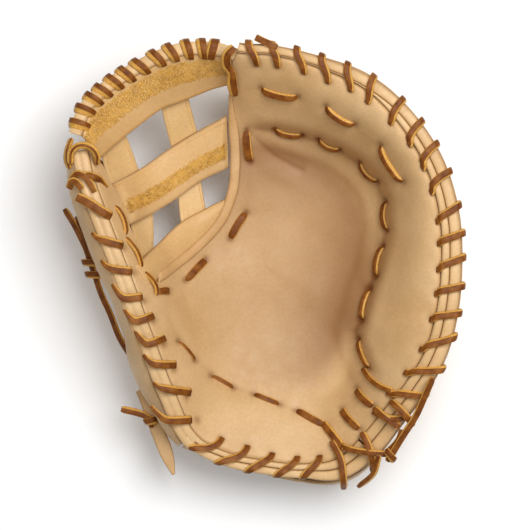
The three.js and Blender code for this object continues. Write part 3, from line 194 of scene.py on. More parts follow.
# Loose straps and lace ends: how much of each is pale cut edge, with the side that it is on as its sign, and
# rows of x and y as plan shares, the middle's height in millimetres, and shares of a lace's width and thickness
STRAPS = {
    "finger_joint_lace": (-0.3, np.array([
        (-0.152, 0.945, 120.0, 1.2, 1), (-0.187, 0.912, 119.0, 1.3, 1), (-0.192, 0.872, 112.0, 1.2, 1),
        (-0.176, 0.852, 106.0, 1.0, 1), (-0.166, 0.838, 104.5, 1.15, 1), (-0.1646, 0.796, 98.0, 1.35, 1),
        (-0.153, 0.75, 88.0, 1.1, 1)])),
    "thumb_tip_lace_outer": (0.34, np.array([
        (-0.958, 0.553, 108.0, 0.8, 1), (-0.978, 0.503, 110.0, 0.8, 1), (-0.981, 0.458, 110.0, 0.8, 1),
        (-0.968, 0.42, 108.0, 0.7, 1)])),
    "thumb_tip_lace_inner": (0.34, np.array([
        (-0.96, 0.44, 114.0, 0.9, 1), (-0.955, 0.488, 116.5, 0.95, 1), (-0.928, 0.513, 118.0, 1.0, 1),
        (-0.889, 0.519, 118.5, 1.0, 1), (-0.85, 0.505, 118.0, 1.0, 1), (-0.828, 0.475, 116.5, 1.0, 1),
        (-0.83, 0.44, 111.5, 0.8, 1)])),
    "corner_lace_upper": (0.22, np.array([
        (0.63, -0.6, 91.5, 1, 1), (0.67, -0.632, 97.4, 1, 1), (0.72, -0.68, 95.1, 1, 1),
        (0.745, -0.71, 85.8, 1, 1)])),
    "corner_lace_middle": (0.22, np.array([
        (0.55, -0.635, 82.9, 1, 1), (0.6, -0.672, 89.3, 1, 1), (0.675, -0.715, 89.3, 1, 1)])),
    "corner_lace_lower": (0.22, np.array([
        (0.49, -0.745, 75.9, 1, 1), (0.52, -0.8, 78.9, 1, 1), (0.545, -0.875, 76.6, 1, 1),
        (0.55, -0.925, 66.1, 1, 1)])),
    "corner_lace_heel": (0.22, np.array([
        (0.34, -0.79, 64.9, 1, 1), (0.385, -0.87, 69.6, 1, 1), (0.4, -0.965, 68.4, 1, 1),
        (0.405, -1.01, 55.7, 1, 1)])),
    "long_strap": (-0.14, np.array([
        (0.83, -0.49, 111.4, 0.9, 1), (0.79, -0.58, 105.6, 0.9, 1), (0.75, -0.665, 99.8, 0.9, 1),
        (0.69, -0.755, 92.8, 0.9, 1), (0.645, -0.825, 88.2, 0.9, 1), (0.63, -0.845, 87.0, 1.1, 1.6),
        (0.615, -0.87, 85.8, 0.8, 1)])),
    "corner_lace_end": (0.3, np.array([
        (0.576, -0.845, 81.7, 0.8, 1), (0.55, -0.93, 74.4, 0.8, 1), (0.478, -1.0, 60.3, 0.8, 1)])),
    "strap_lace_end": (0.26, np.array([
        (-0.74, -0.653, 50.6, 1, 1), (-0.65, -0.672, 49.6, 1, 1), (-0.605, -0.69, 49.6, 0.9, 1),
        (-0.588, -0.708, 50.1, 1.2, 1.8), (-0.575, -0.735, 49.6, 0.8, 1)])),
    "thumb_strand": (0.22, np.array([
        (-1.024, 0.253, 60.3, 0.85, 1), (-0.971, 0.176, 60.3, 0.85, 1), (-0.913, 0.068, 59.2, 0.85, 1),
        (-0.892, 0.01, 58.0, 0.85, 1), (-0.87, -0.045, 58.0, 0.85, 1), (-0.842, -0.122, 58.0, 0.85, 1),
        (-0.792, -0.224, 55.7, 0.85, 1), (-0.745, -0.331, 53.4, 0.85, 1), (-0.672, -0.439, 51.0, 0.85, 1),
        (-0.612, -0.55, 49.0, 0.85, 1)])),
    "thumb_strand_short": (0.22, np.array([
        (-0.963, 0.219, 62.3, 0.7, 1), (-0.899, 0.092, 61.3, 0.8, 1), (-0.876, 0.035, 60.7, 0.8, 1)])),
}
# Straps and lace ends that lie on the leather: pale edge as above, and for each its rows of x and y as plan
# shares, lift over what is below in millimetres, width as a share
LYING = {
    "corner_crossing": (0.26, (
        ((0.3, -0.715, -1.5, 1.1), (0.335, -0.752, 1.6, 1.1),
         (0.37, -0.79, 1.8, 1.1), (0.4, -0.822, 2.6, 1.0)),
        ((0.392, -0.812, 2.4, 0.9), (0.45, -0.826, 4.2, 0.9),
         (0.54, -0.836, 4.6, 0.9), (0.615, -0.84, 2.0, 0.9)),
        ((0.5, -0.466, -1.0, 0.8), (0.528, -0.504, 1.4, 0.8),
         (0.575, -0.535, 1.6, 0.8), (0.635, -0.556, 1.0, 0.8)),
        ((0.548, -0.652, 0.4, 0.9), (0.61, -0.676, 2.6, 0.9),
         (0.67, -0.678, 2.0, 0.9), (0.705, -0.672, 0.0, 0.9)),
        ((0.688, -0.73, 0.0, 0.8), (0.672, -0.775, 2.0, 0.9),
         (0.635, -0.815, 1.6, 0.8), (0.61, -0.832, 0.4, 0.7)),
    )),
    "thumb_tip_crossing": (0.2, (
        ((-0.957, 0.375, -3.0, 0.9), (-0.925, 0.398, 1.0, 0.9),
         (-0.875, 0.375, 2.2, 0.9), (-0.838, 0.318, 0.4, 0.8)),
        ((-0.9, 0.383, 1.0, 0.9), (-0.865, 0.392, 2.4, 0.95),
         (-0.82, 0.375, 2.6, 0.95), (-0.79, 0.34, -0.6, 0.8)),
        ((-0.968, 0.335, -4.0, 1.0), (-0.955, 0.362, 0.0, 1.0),
         (-0.93, 0.36, 2.4, 1.0), (-0.9, 0.33, 3.4, 0.9)),
        ((-0.925, 0.296, 2.0, 1.25), (-0.87, 0.272, 3.0, 1.35),
         (-0.81, 0.238, 2.8, 1.35), (-0.762, 0.214, 0.2, 1.2)),
    )),
    "finger_tip_end": (0.1, (
        ((-0.045, 0.988, 0.5, 0.9), (-0.01, 0.972, 1.0, 0.9),
         (0.03, 0.956, 1.6, 0.9), (0.06, 0.943, 0.5, 0.8)),
    )),
}
# Laces over the thumb's roll in the same columns. Each is worked out from three places in plan shares: the
# fold outside the roll, the roll's middle and the hole in the palm
THUMB_LACE_EDGE = 0.24
THUMB_LACES = tuple(
    ((ax, ay, -2.8, 0.5), (0.6 * ax + 0.4 * mx, 0.6 * ay + 0.4 * my - 0.005, 0.0, 0.75),
     (mx + 0.006, my + 0.002, 1.0, 1.1), (bx, by, 0.4, 1.12))
    for ax, ay, mx, my, bx, by in (
        (-0.853, 0.139, -0.793, 0.104, -0.705, 0.087), (-0.808, 0.019, -0.751, -0.02, -0.66, -0.027),
        (-0.754, -0.085, -0.698, -0.146, -0.611, -0.138), (-0.698, -0.193, -0.643, -0.246, -0.558, -0.222),
        (-0.646, -0.286, -0.588, -0.346, -0.503, -0.321), (-0.604, -0.394, -0.553, -0.437, -0.45, -0.442),
        (-0.558, -0.52, -0.494, -0.55, -0.377, -0.568), (-0.571, -0.624, -0.494, -0.69, -0.374, -0.69)))
# Knots: the strap that each is tied in, the row that it sits at, its length and its height, millimetres
KNOTS = (("long_strap", 5, 8.5, 3.4), ("strap_lace_end", 3, 8.0, 3.2), ("thumb_strand", 3, 11.0, 4.6),
         ("thumb_strand", 4, 12.5, 5.5))
# The leather tab: x and y as plan shares, height and width in millimetres
TAB = np.array([
    (-0.634, -0.565, 41.8, 10.5), (-0.594, -0.65, 44.1, 10.5), (-0.554, -0.75, 47.6, 10.3),
    (-0.504, -0.86, 49.9, 9.6), (-0.469, -0.95, 51.0, 2.4),
])
# Valleys in the palm's leather along its rows of laces, x and y in plan shares
OUTER_FOLD = np.array([
    (-0.12, 0.79), (-0.025, 0.767), (0.159, 0.729), (0.298, 0.688), (0.44, 0.609), (0.565, 0.52),
    (0.676, 0.359), (0.70, 0.2),
])
INNER_FOLD = np.array([
    (-0.12, 0.64), (-0.04, 0.612), (0.046, 0.599), (0.184, 0.568), (0.265, 0.547), (0.372, 0.504),
    (0.469, 0.449), (0.555, 0.364), (0.596, 0.283), (0.601, 0.157), (0.582, 0.09), (0.546, -0.045),
    (0.516, -0.104), (0.478, -0.246), (0.455, -0.3), (0.466, -0.36), (0.513, -0.462), (0.60, -0.55),
])
HEEL_FOLD = np.array([
    (-0.52, -0.16), (-0.47, -0.27), (-0.43, -0.339), (-0.347, -0.428), (-0.267, -0.499), (-0.16, -0.554),
    (-0.057, -0.582), (0.077, -0.627), (0.16, -0.654), (0.305, -0.722), (0.36, -0.78),
])
WEB_FOLD = np.array([
    (-0.088, 0.66), (-0.08, 0.54), (-0.077, 0.40), (-0.098, 0.238), (-0.18, 0.12), (-0.3, 0.027),
    (-0.4, -0.068), (-0.5, -0.12),
])
POCKET_WRINKLE = np.array([(-0.085, 0.605), (-0.03, 0.562), (0.051, 0.5), (0.14, 0.455), (0.22, 0.424)])
# Each valley with its depth and its width, millimetres
FOLDS = (
    (OUTER_FOLD, 0.5, 9), (INNER_FOLD, 2.4, 4.2), (HEEL_FOLD, 0.7, 6), (WEB_FOLD, 0.3, 8),
    (POCKET_WRINKLE, 1.3, 5),
)

# The web's edges from the finger side to the thumb, in plan shares: ax, ay the upper edge, bx, by the lower
WEB_TOP = np.array([
    (-0.164, 0.895, -0.162, 0.8), (-0.25, 0.92, -0.263, 0.78), (-0.342, 0.925, -0.352, 0.75),
    (-0.43, 0.917, -0.44, 0.722), (-0.52, 0.89, -0.522, 0.693), (-0.63, 0.842, -0.6, 0.645),
    (-0.725, 0.79, -0.685, 0.583), (-0.803, 0.733, -0.75, 0.53), (-0.868, 0.665, -0.79, 0.497),
    (-0.908, 0.562, -0.818, 0.468),
])
WEB_MIDDLE = np.array([
    (-0.196, 0.664, -0.188, 0.44), (-0.33, 0.604, -0.33, 0.38), (-0.481, 0.524, -0.448, 0.304),
    (-0.61, 0.44, -0.55, 0.243), (-0.761, 0.358, -0.676, 0.178),
])
WEB_BOTTOM = np.array([
    (-0.2, 0.302, -0.206, 0.284), (-0.301, 0.258, -0.232, 0.216), (-0.43, 0.192, -0.298, 0.141),
    (-0.5415, 0.0915, -0.438, 0.03), (-0.617, 0.018, -0.548, -0.072), (-0.648, -0.005, -0.588, -0.1),
])
# The bars: edges, how far the middle is raised, points across, and the band across that is sewn all over
WEB_BARS = {
    "top": (WEB_TOP, 1.0, 40, (0.1, 0.62)), "middle": (WEB_MIDDLE, 3.0, 40, (0.42, 0.8)),
    "bottom": (WEB_BOTTOM, 2.0, 30, (2.0, 3.0)),
}
# The posts, with the depth at which each passes under the bars, in GAPs
POSTS = {
    "web_post_upper_right": (3.0, np.array([
        (-0.53, 0.74, -0.4, 0.78), (-0.498, 0.62, -0.367, 0.668), (-0.462, 0.5, -0.333, 0.555)])),
    "web_post_upper_left": (4.6, np.array([
        (-0.8, 0.54, -0.695, 0.61), (-0.765, 0.43, -0.65, 0.515), (-0.73, 0.335, -0.61, 0.41)])),
    "web_post_lower_right": (3.0, np.array([
        (-0.438, 0.35, -0.332, 0.415), (-0.423, 0.25, -0.312, 0.32), (-0.406, 0.155, -0.29, 0.215)])),
    "web_post_lower_left": (4.6, np.array([
        (-0.645, 0.215, -0.545, 0.265), (-0.628, 0.155, -0.54, 0.2), (-0.612, 0.02, -0.53, 0.072)])),
}


# Lights, discs that face LIT_POINT: place, width in metres, power in watts
LIGHTS = (("key", (0.4, 0.45, 1.45), 0.9, 17.0), ("ceiling", (0.0, 0.0, 1.75), 2.6, 20.0))
LIT_POINT = (0.0, 0.0, 0.05)


class Slot(Enum):
    """The record's material slots."""

    PALM = "palm"
    BACK = "back"
    BINDING = "binding"
    WEB = "web"
    LACE = "lace"


# Formulas shared by all pieces


def through(places: Array, values: Array, at: Array, period: float = 0.0) -> Array:
    """A cubic curve through values at rising places, with slopes taken from each place's neighbours.

    Args:
        places: rising positions.
        values: the value at each.
        at: where to read the curve.
        period: if given, the curve closes on itself after it.

    Returns:
        The curve's value at each of at.
    """
    x, v = np.asarray(places, float), np.asarray(values, float)
    at = np.asarray(at, float)
    if period:
        x = np.concatenate([x[-2:] - period, x, x[:3] + period])
        v = np.concatenate([v[-2:], v, v[:3]])
        at = places[0] + np.mod(at - places[0], period)
    else:
        x = np.concatenate([x[:1], x, x[-1:]])
        v = np.concatenate([v[:1], v, v[-1:]])
        at = np.clip(at, places[0], places[-1])
    slope = (v[2:] - v[:-2]) / np.maximum(x[2:] - x[:-2], 1e-9)
    x, v = x[1:-1], v[1:-1]
    i = np.clip(np.searchsorted(x, at, side="right") - 1, 0, len(x) - 2)
    span = x[i + 1] - x[i]
    u = (at - x[i]) / span
    ease = u * u * (3 - 2 * u)
    bend = u * (1 - u) ** 2 * slope[i] * span - u * u * (1 - u) * slope[i + 1] * span
    return v[i] * (1 - ease) + v[i + 1] * ease + bend


def columns(table: Array, at: Array, *wanted: int) -> list[Array]:
    """Columns of a table as curves through its rows, read at row numbers that need not be whole."""
    return [through(np.arange(len(table)), table[:, k], at) for k in wanted]


def rounded(points: Array, share: Array) -> Array:
    """A centripetal Catmull-Rom curve: each span is a cubic whose end slopes allow for uneven spacing.

    Args:
        points: control points, (..., K, 3).
        share: rising numbers from 0 to 1 at which to read it, (N,).

    Returns:
        Points on the curves, (..., N, 3).
    """
    p = np.concatenate([2 * points[..., :1, :] - points[..., 1:2, :], points,
                        2 * points[..., -1:, :] - points[..., -2:-1, :]], axis=-2)
    gap = np.maximum(np.sum((p[..., 1:, :] - p[..., :-1, :]) ** 2, axis=-1) ** 0.25, 1e-3)[..., None]
    spans = points.shape[-2] - 1
    at = np.clip(share * spans, 0, spans - 1e-9)
    i = at.astype(int)
    u = (at - i)[:, None]
    p0, p1, p2, p3 = (np.take(p, i + k, axis=-2) for k in range(4))
    d0, d1, d2 = (np.take(gap, i + k, axis=-2) for k in range(3))
    t1 = ((p1 - p0) / d0 - (p2 - p0) / (d0 + d1) + (p2 - p1) / d1) * d1
    t2 = ((p2 - p1) / d1 - (p3 - p1) / (d1 + d2) + (p3 - p2) / d2) * d1
    return p1 + t1 * u + (3 * (p2 - p1) - 2 * t1 - t2) * u**2 + (2 * (p1 - p2) + t1 + t2) * u**3


def smooth(x: Array, low: float | Array, high: float | Array) -> Array:
    """The smooth step: 0 below low, 1 above high, an S-shaped cubic between."""
    t = np.clip((x - low) / (high - low), 0, 1)
    return t * t * (3 - 2 * t)


def bump(distance: Array, width: float | Array) -> Array:
    """A bell curve: 1 at no distance, falling off over width."""
    return np.exp(-((distance / width) ** 2))


def unit(v: Array) -> Array:
    """Vectors scaled to length 1."""
    return v / np.maximum(np.linalg.norm(v, axis=-1, keepdims=True), 1e-9)


def between(a: Array, b: Array, share: Array) -> Array:
    """Points at shares of the way from each of a to each of b, (S, N, dimensions)."""
    return a[:, None] * (1 - share)[None, :, None] + b[:, None] * share[None, :, None]


def waves(x: Array, y: Array, size: float, seed: int, count: int = 9) -> Array:
    """Soft random unevenness between about -1 and 1: a sum of plane waves near one size, seeded.

    Args:
        x: first coordinate, millimetres.
        y: second coordinate.
        size: the waves' length, millimetres.
        seed: picks the waves.
        count: how many waves are added.

    Returns:
        The sum at each point.
    """
    rng = np.random.default_rng(seed)
    way, phase = rng.uniform(0, 2 * math.pi, (2, count))
    k = 2 * math.pi / (size * rng.uniform(0.7, 1.6, count))
    swing = np.cos(way) * k * x[..., None] + np.sin(way) * k * y[..., None] + phase
    return np.sin(swing).sum(axis=-1) / math.sqrt(count)


def from_line(x: Array, y: Array, line: Array) -> tuple[Array, Array]:
    """How far points lie from a line of plan shares, and how far along it the nearest place is.

    Args:
        x: plan position, millimetres.
        y: plan position, millimetres.
        line: (K, 2) plan shares.

    Returns:
        The distances in millimetres, and the places along the line from 0 to 1.
    """
    ends = line * (HALF_X, HALF_Y)
    a, d = ends[:-1], ends[1:] - ends[:-1]
    px, py = x[..., None] - a[:, 0], y[..., None] - a[:, 1]
    t = np.clip((px * d[:, 0] + py * d[:, 1]) / (d**2).sum(axis=1), 0, 1)
    away = np.hypot(px - t * d[:, 0], py - t * d[:, 1])
    best = away.argmin(axis=-1)[..., None]
    place = (best + np.take_along_axis(t, best, -1))[..., 0] / len(d)
    return np.take_along_axis(away, best, -1)[..., 0], place


@dataclass(frozen=True)
class Bowl:
    """The form that the whole mitt follows: a bowl over the plan, with pads inside its rim."""

    rim_height: float = RIM_HEIGHT
    floor: float = POCKET_HEIGHT
    plain_power: float = 2.5  # how the leather rises with the way out, where there is no pad
    outside_slope: float = 0.8  # of that rise past the rim
    foot_power: float = 2.2  # how it rises up to the foot of a pad
    pad_power: float = 2.1  # how it levels off from there to the rim
    foot_round: float = 0.02  # how softly the one turns into the other

    def rim(self, column: int, turn: Array) -> Array:
        """A column of RIM at a turn in degrees; column REACH is the edge's reach in plan shares.

        Args:
            column: which column.
            turn: degrees round the rim.

        Returns:
            The column as a closed curve through the rows, which are put in order of their turn.
        """
        turns = np.degrees(np.arctan2(RIM[:, 1], RIM[:, 0]))
        turns = np.where(turns < -1e-6, turns + 360, turns)
        order = np.argsort(turns)
        value = np.hypot(RIM[:, 0], RIM[:, 1]) if column == REACH else RIM[:, column]
        return through(turns[order], value[order], turn, 360.0)

    def edge(self, turn: Array) -> Array:
        """The palm's edge: an ellipse of plan shares scaled by the reach, with the rise as its height.

        Args:
            turn: degrees round the rim.

        Returns:
            Points, (..., 3).
        """
        turn = np.asarray(turn, float)
        reach, a = self.rim(REACH, turn), np.radians(turn)
        return np.stack([reach * np.cos(a) * HALF_X, reach * np.sin(a) * HALF_Y,
                         self.rim_height * self.rim(RISE, turn)], axis=-1)

    def frame(self, turn: Array) -> tuple[Array, Array, Array]:
        """The edge with its level directions: the chord over half a degree to each side, and square to it.

        Args:
            turn: degrees round the rim.

        Returns:
            The edge, the direction out of it, and the one along it towards lower turns.
        """
        at = self.edge(turn)
        along = self.edge(np.asarray(turn) - 0.5) - self.edge(np.asarray(turn) + 0.5)
        along[..., 2] = 0
        along = unit(along)
        out = np.stack([-along[..., 1], along[..., 0], 0 * along[..., 0]], axis=-1)
        return at, out, along

    def place(self, x: Array, y: Array) -> tuple[Array, Array]:
        """The turn of a plan point, and how far out it is as a share of the rim's reach."""
        turn = np.degrees(np.arctan2(y / HALF_Y, x / HALF_X))
        return turn, np.hypot(x / HALF_X, y / HALF_Y) / self.rim(REACH, turn)

    def height(self, x: Array, y: Array) -> Array:
        """The palm's height: a power of the way out where there is no pad, and a step up the pad's side
        that levels off towards the rim where there is one.

        Args:
            x: plan position, millimetres.
            y: plan position, millimetres.

        Returns:
            The height over the floor at each point.
        """
        turn, out = self.place(x, y)
        crease, pad = self.rim(CREASE, turn), np.clip(self.rim(PAD, turn), 0, 1)
        inner = CREASE_RISE * np.minimum(out / crease, 1) ** self.foot_power
        past = (out - crease) / (1 - crease)
        s = (past + np.sqrt(past**2 + self.foot_round)) / 2
        outer = (1 - CREASE_RISE) * (1 - np.maximum(1 - s, 0) ** self.pad_power)
        plain = np.where(out < 1, np.maximum(out, 0) ** self.plain_power, 1 + (out - 1) * self.outside_slope)
        top = self.rim_height * self.rim(RISE, turn)
        return self.floor + (top - self.floor) * (plain + (inner + outer - plain) * pad)

    def normal(self, x: Array, y: Array) -> Array:
        """The direction square to the bowl, from its slopes over a millimetre both ways.

        Args:
            x: plan position, millimetres.
            y: plan position, millimetres.

        Returns:
            Unit vectors, (..., 3).
        """
        d = 0.5
        sx = (self.height(x + d, y) - self.height(x - d, y)) / (2 * d)
        sy = (self.height(x, y + d) - self.height(x, y - d)) / (2 * d)
        return unit(np.stack([-sx, -sy, np.ones_like(sx)], axis=-1))

    def lifted(self, x: Array, y: Array, lift: float | Array = 0.0) -> Array:
        """Points above or below the bowl: straight up near the rim, square to the leather elsewhere.

        Args:
            x: plan position, millimetres.
            y: plan position, millimetres.
            lift: distance above the bowl, below it if negative.

        Returns:
            Points, (..., 3).
        """
        upright = smooth(self.place(x, y)[1], 0.85, 1)[..., None]
        way = self.normal(x, y)
        way = unit(way + (np.array([0, 0, 1.0]) - way) * upright)
        base = np.stack([x, y, self.height(x, y)], axis=-1)
        return base + way * np.broadcast_to(np.asarray(lift, float), x.shape)[..., None]

    def wall(self, x: Array, y: Array) -> Array:
        """The palm's thickness: thin in the pocket, stuffed under the pads, firm at the rim.

        Args:
            x: plan position, millimetres.
            y: plan position, millimetres.

        Returns:
            The thickness in millimetres at each point.
        """
        turn, out = self.place(x, y)
        pad, crease = np.clip(self.rim(PAD, turn), 0, 1), self.rim(CREASE, turn)
        stuffed = smooth(out, crease - 0.05, crease + 0.12) * (1 - smooth(out, 0.8, 1))
        return PALM_LEATHER + PALM_STUFFING * pad * stuffed + (PALM_EDGE - PALM_LEATHER) * smooth(out, 0.8, 1)


BOWL = Bowl()


def stitch_holes(stitches: Array) -> Array:
    """Plan positions of a rim lace's holes in the palm, millimetres, (S, 2)."""
    at, out, _ = BOWL.frame(stitches[:, 1])
    return (at - out * (stitches[:, 2] * BAND_WIDTH)[:, None])[:, :2]


def pulls(turn: Array, stitches: Array, width: float) -> Array:
    """How strongly rim laces pull at each turn, 0 to 1: a bell at the middle of each stitch."""
    middle = stitches[:, 0] * 0.5 + stitches[:, 1] * 0.5
    return bump(turn[..., None] - middle, width).max(axis=-1)


@dataclass(frozen=True)
class Relief:
    """What the palm's leather does over the plain bowl: it is a little uneven, valleys follow the rows of
    laces, dents sit where laces go in, and the rim's edge is rolled down and bulges between stitches.

    Depths and widths are in millimetres. Shades are painted shade: shares of the way to the darker shade tone,
    in the pocket, the valleys, round the holes and along the edge.
    """

    uneven: tuple = ((0.35, 60, 3), (0.1, 17, 4))  # waves: height, length, seed
    pocket_shade: float = 0.22  # painted shade over the whole pocket
    wall_shade: float = 0.5  # painted shade in the pocket along the foot of the pads, which shade it
    wall_spread: float = 46
    ridge: float = 0.4  # leather pushed up beside a valley, as a share of the valley's depth
    # painted shade in the valleys, per millimetre of their depth
    fold_shade: float = 0.14
    hollow_width: float = 4.5  # of the leather drawn in round a hole
    hole_width: float = 1.8
    mean_reach: float = math.hypot(HALF_X, HALF_Y) * 0.62  # about the rim's way out from the middle
    bulge: float = 0.5
    edge_drop: float = 1.3
    # painted shade along the palm's edge, next to the rolls
    edge_shade: float = 0.22

    def at(self, x: Array, y: Array) -> tuple[Array, Array]:
        """The lift in millimetres, and how much painted shade darkens the leather there, 0 to 1.

        Args:
            x: plan position, millimetres.
            y: plan position, millimetres.

        Returns:
            The lift and the painted shade at each point.
        """
        turn, out = BOWL.place(x, y)
        lift = sum(height * waves(x, y, length, seed) for height, length, seed in self.uneven)
        # Painted shade: the pocket darker all over, and darker still along the foot of the pads, which shade
        # it.
        shaded = bump(from_line(x, y, INNER_FOLD)[0], self.wall_spread) * (1 - smooth(out, 0.56, 0.72))
        painted_shade = self.pocket_shade * (1 - smooth(out, 0.5, 0.8)) + self.wall_shade * shaded
        for line, depth, width in FOLDS:
            away, place = from_line(x, y, line)
            fade = smooth(place, 0, 0.1) * (1 - smooth(place, 0.9, 1))
            lift += fade * depth * (self.ridge * bump(away - 2.2 * width, width) - bump(away, width))
            # painted shade in the bottom of each valley
            painted_shade += self.fold_shade * depth * fade * bump(away, 1.5)
        crease_ends = CREASE_LACES[:, :4].reshape(-1, 2) * (HALF_X, HALF_Y)
        # Dents where laces go in, with painted shade round them
        for places, hollow, hole, shade, reach in (
            (crease_ends, 1.0, 0.8, 0.6, 2.4), (stitch_holes(RIM_STITCHES), 0.9, 0.7, 0.55, 2.6),
        ):
            away = np.hypot(x[..., None] - places[:, 0], y[..., None] - places[:, 1])
            lift -= hollow * bump(away, self.hollow_width).max(axis=-1)
            lift -= hole * bump(away, self.hole_width).max(axis=-1)
            painted_shade += shade * bump(away, reach).max(axis=-1)
        inward = (1 - out) * self.mean_reach
        lift += self.bulge * (1 - pulls(turn, RIM_STITCHES, 2.2)) * bump(inward - 5, 4)
        lift -= self.edge_drop * bump(inward, 1.4)
        # painted shade along the palm's edge, where it meets the rolls
        painted_shade += self.edge_shade * bump(inward, 0.8)
        return lift, np.clip(painted_shade, 0, 1)


RELIEF = Relief()


# Meshes


@dataclass
class Form:
    """A mesh in the making: points in millimetres, faces, and named numbers at each point."""

    points: Array
    faces: list
    marks: dict[str, Array]

    def joined(self, other: "Form") -> "Form":
        """This form and another as one mesh.

        Args:
            other: the other form, with the same marks.

        Returns:
            The two as one form.
        """
        shift = len(self.points)
        faces = self.faces + [[i + shift for i in f] for f in other.faces]
        marks = {k: np.concatenate([self.marks[k], other.marks[k]]) for k in self.marks}
        return Form(np.concatenate([self.points, other.points]), faces, marks)


def quads(rows: int, columns: int, start: int = 0, round_columns: bool = False) -> Array:
    """Corner numbers of the cells of a grid whose points are numbered row by row from start.

    Args:
        rows: rows of points.
        columns: points in a row.
        start: number of the first point.
        round_columns: whether each row closes on itself.

    Returns:
        The corners, (cells, 4).
    """
    wide = columns if round_columns else columns - 1
    i, j = np.meshgrid(np.arange(rows - 1), np.arange(wide), indexing="ij")
    k = (j + 1) % columns
    a, b = start + i * columns + j, start + i * columns + k
    c, d = start + (i + 1) * columns + k, start + (i + 1) * columns + j
    return np.stack([a, b, c, d], axis=-1).reshape(-1, 4)


def outward(form: Form) -> Form:
    """The form with its faces turned outwards, judged by the sign of its volume.

    Args:
        form: a closed form.

    Returns:
        The same form, with its faces reversed if its volume came out negative.
    """
    flat = np.array([f[:3] for f in form.faces] + [[f[0], f[2], f[3]] for f in form.faces if len(f) > 3])
    a, b, c = (form.points[flat[:, k]] for k in range(3))
    if np.einsum("ij,ij->i", a, np.cross(b, c)).sum() < 0:
        form.faces = [f[::-1] for f in form.faces]
    return form


def shell(face: Array, lining: Array, marks: dict[str, Array]) -> Form:
    """A closed wall between two grids of points of the same size, with a strip round the edge that joins them.

    Args:
        face: points of the upper side, (rows, columns, 3).
        lining: points of the lower side.
        marks: named numbers at the points of the upper side.

    Returns:
        The wall.
    """
    rows, cols = face.shape[:2]
    far = rows * cols
    top = quads(rows, cols)
    low = quads(rows, cols, far)[:, ::-1]
    index = np.arange(far).reshape(rows, cols)
    loop = np.concatenate([index[0, :-1], index[:-1, -1], index[-1, :0:-1], index[:0:-1, 0]])
    step = np.roll(loop, -1)
    side = np.stack([loop, loop + far, step + far, step], axis=-1)
    points = np.concatenate([face.reshape(-1, 3), lining.reshape(-1, 3)])
    # The lower side gets 0.3 of every mark: painted shade under the wall, and a little sewing colour where
    # there is a sewn mark.
    both = {k: np.concatenate([v.reshape(-1), 0.3 + 0 * v.reshape(-1)]) for k, v in marks.items()}
    return outward(Form(points, np.concatenate([top, low, side]).tolist(), both))


def ropes(rings: Array, marks: dict[str, Array]) -> Form:
    """Closed bodies through rings of points, each turned outwards by the sign of its own volume.

    Args:
        rings: (bodies, rings, points, 3).
        marks: named numbers that can be spread over the points.

    Returns:
        All the bodies as one mesh, with flat ends.
    """
    bodies, rows, cols = rings.shape[:3]
    spread = {k: np.array(np.broadcast_to(v, rings.shape[:3])) for k, v in marks.items()}
    rings = rings.copy()
    local = rings - rings.mean(axis=(1, 2), keepdims=True)
    step = np.roll(local, -1, axis=2)
    a, b, c, d = local[:, :-1], step[:, :-1], step[:, 1:], local[:, 1:]
    volume = (np.sum(a * np.cross(b, c), axis=-1) + np.sum(a * np.cross(c, d), axis=-1)).sum(axis=(1, 2))
    for row, sign in ((0, -1), (-1, 1)):
        fan = np.cross(local[:, row, 1:-1], local[:, row, 2:])
        volume += sign * np.sum(local[:, row, :1] * fan, axis=(1, 2))
    wrong = volume < 0
    rings[wrong] = rings[wrong, :, ::-1]
    for mark in spread.values():
        mark[wrong] = mark[wrong, :, ::-1]
    size = rows * cols
    one = quads(rows, cols, 0, True)
    ends = [list(range(cols))[::-1], list(range((rows - 1) * cols, size))]
    faces: list = []
    for k in range(bodies):
        faces += (one + k * size).tolist() + [[i + k * size for i in end] for end in ends]
    return Form(rings.reshape(-1, 3), faces, {k: v.reshape(-1) for k, v in spread.items()})


def piece(name: str, form: Form, finish: bpy.types.Material,
          nodes: tuple[str, ...] = ()) -> bpy.types.Object:
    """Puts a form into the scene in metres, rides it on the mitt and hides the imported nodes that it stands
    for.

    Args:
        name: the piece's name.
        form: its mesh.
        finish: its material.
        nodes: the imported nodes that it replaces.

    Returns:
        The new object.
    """
    mesh = bpy.data.meshes.new(name)
    mesh.from_pydata(((form.points + CENTRE) / METRE).tolist(), [], form.faces)
    for key, values in form.marks.items():
        mark = mesh.attributes.new(key, "FLOAT", "POINT")
        mark.data.foreach_set("value", np.ascontiguousarray(values, dtype=np.float32))
    mesh.shade_smooth()
    mesh.update()
    made = bpy.data.objects.new(name, mesh)
    bpy.context.scene.collection.objects.link(made)
    made.data.materials.append(finish)
    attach(made, "root")
    if nodes:
        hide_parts(*nodes)
    LOG.info("%s: %d points", name, len(form.points))
    return made


# Finishes


def linear(colour: str) -> tuple[float, float, float, float]:
    """An sRGB hex colour as linear numbers with full alpha, by the sRGB curve.

    Args:
        colour: "#rrggbb".

    Returns:
        Red, green, blue and alpha.
    """
    parts = [int(colour[i:i + 2], 16) / 255 for i in (1, 3, 5)]
    low = [p / 12.92 if p <= 0.04045 else ((p + 0.055) / 1.055) ** 2.4 for p in parts]
    return (*low, 1.0)


def add_node(tree: Tree, kind: str, settings: dict | None = None,
             links: dict | None = None) -> bpy.types.Node:
    """Adds a node.

    Args:
        tree: the node tree.
        kind: the node's type name.
        settings: its properties, or input values for keys that name or number an input.
        links: output sockets by the input that they feed.

    Returns:
        The node.
    """
    node = tree.nodes.new(kind)
    for key, value in (settings or {}).items():
        if isinstance(key, int) or key in node.inputs:
            node.inputs[key].default_value = value
        else:
            setattr(node, key, value)
    for key, socket in (links or {}).items():
        tree.links.new(socket, node.inputs[key])
    return node


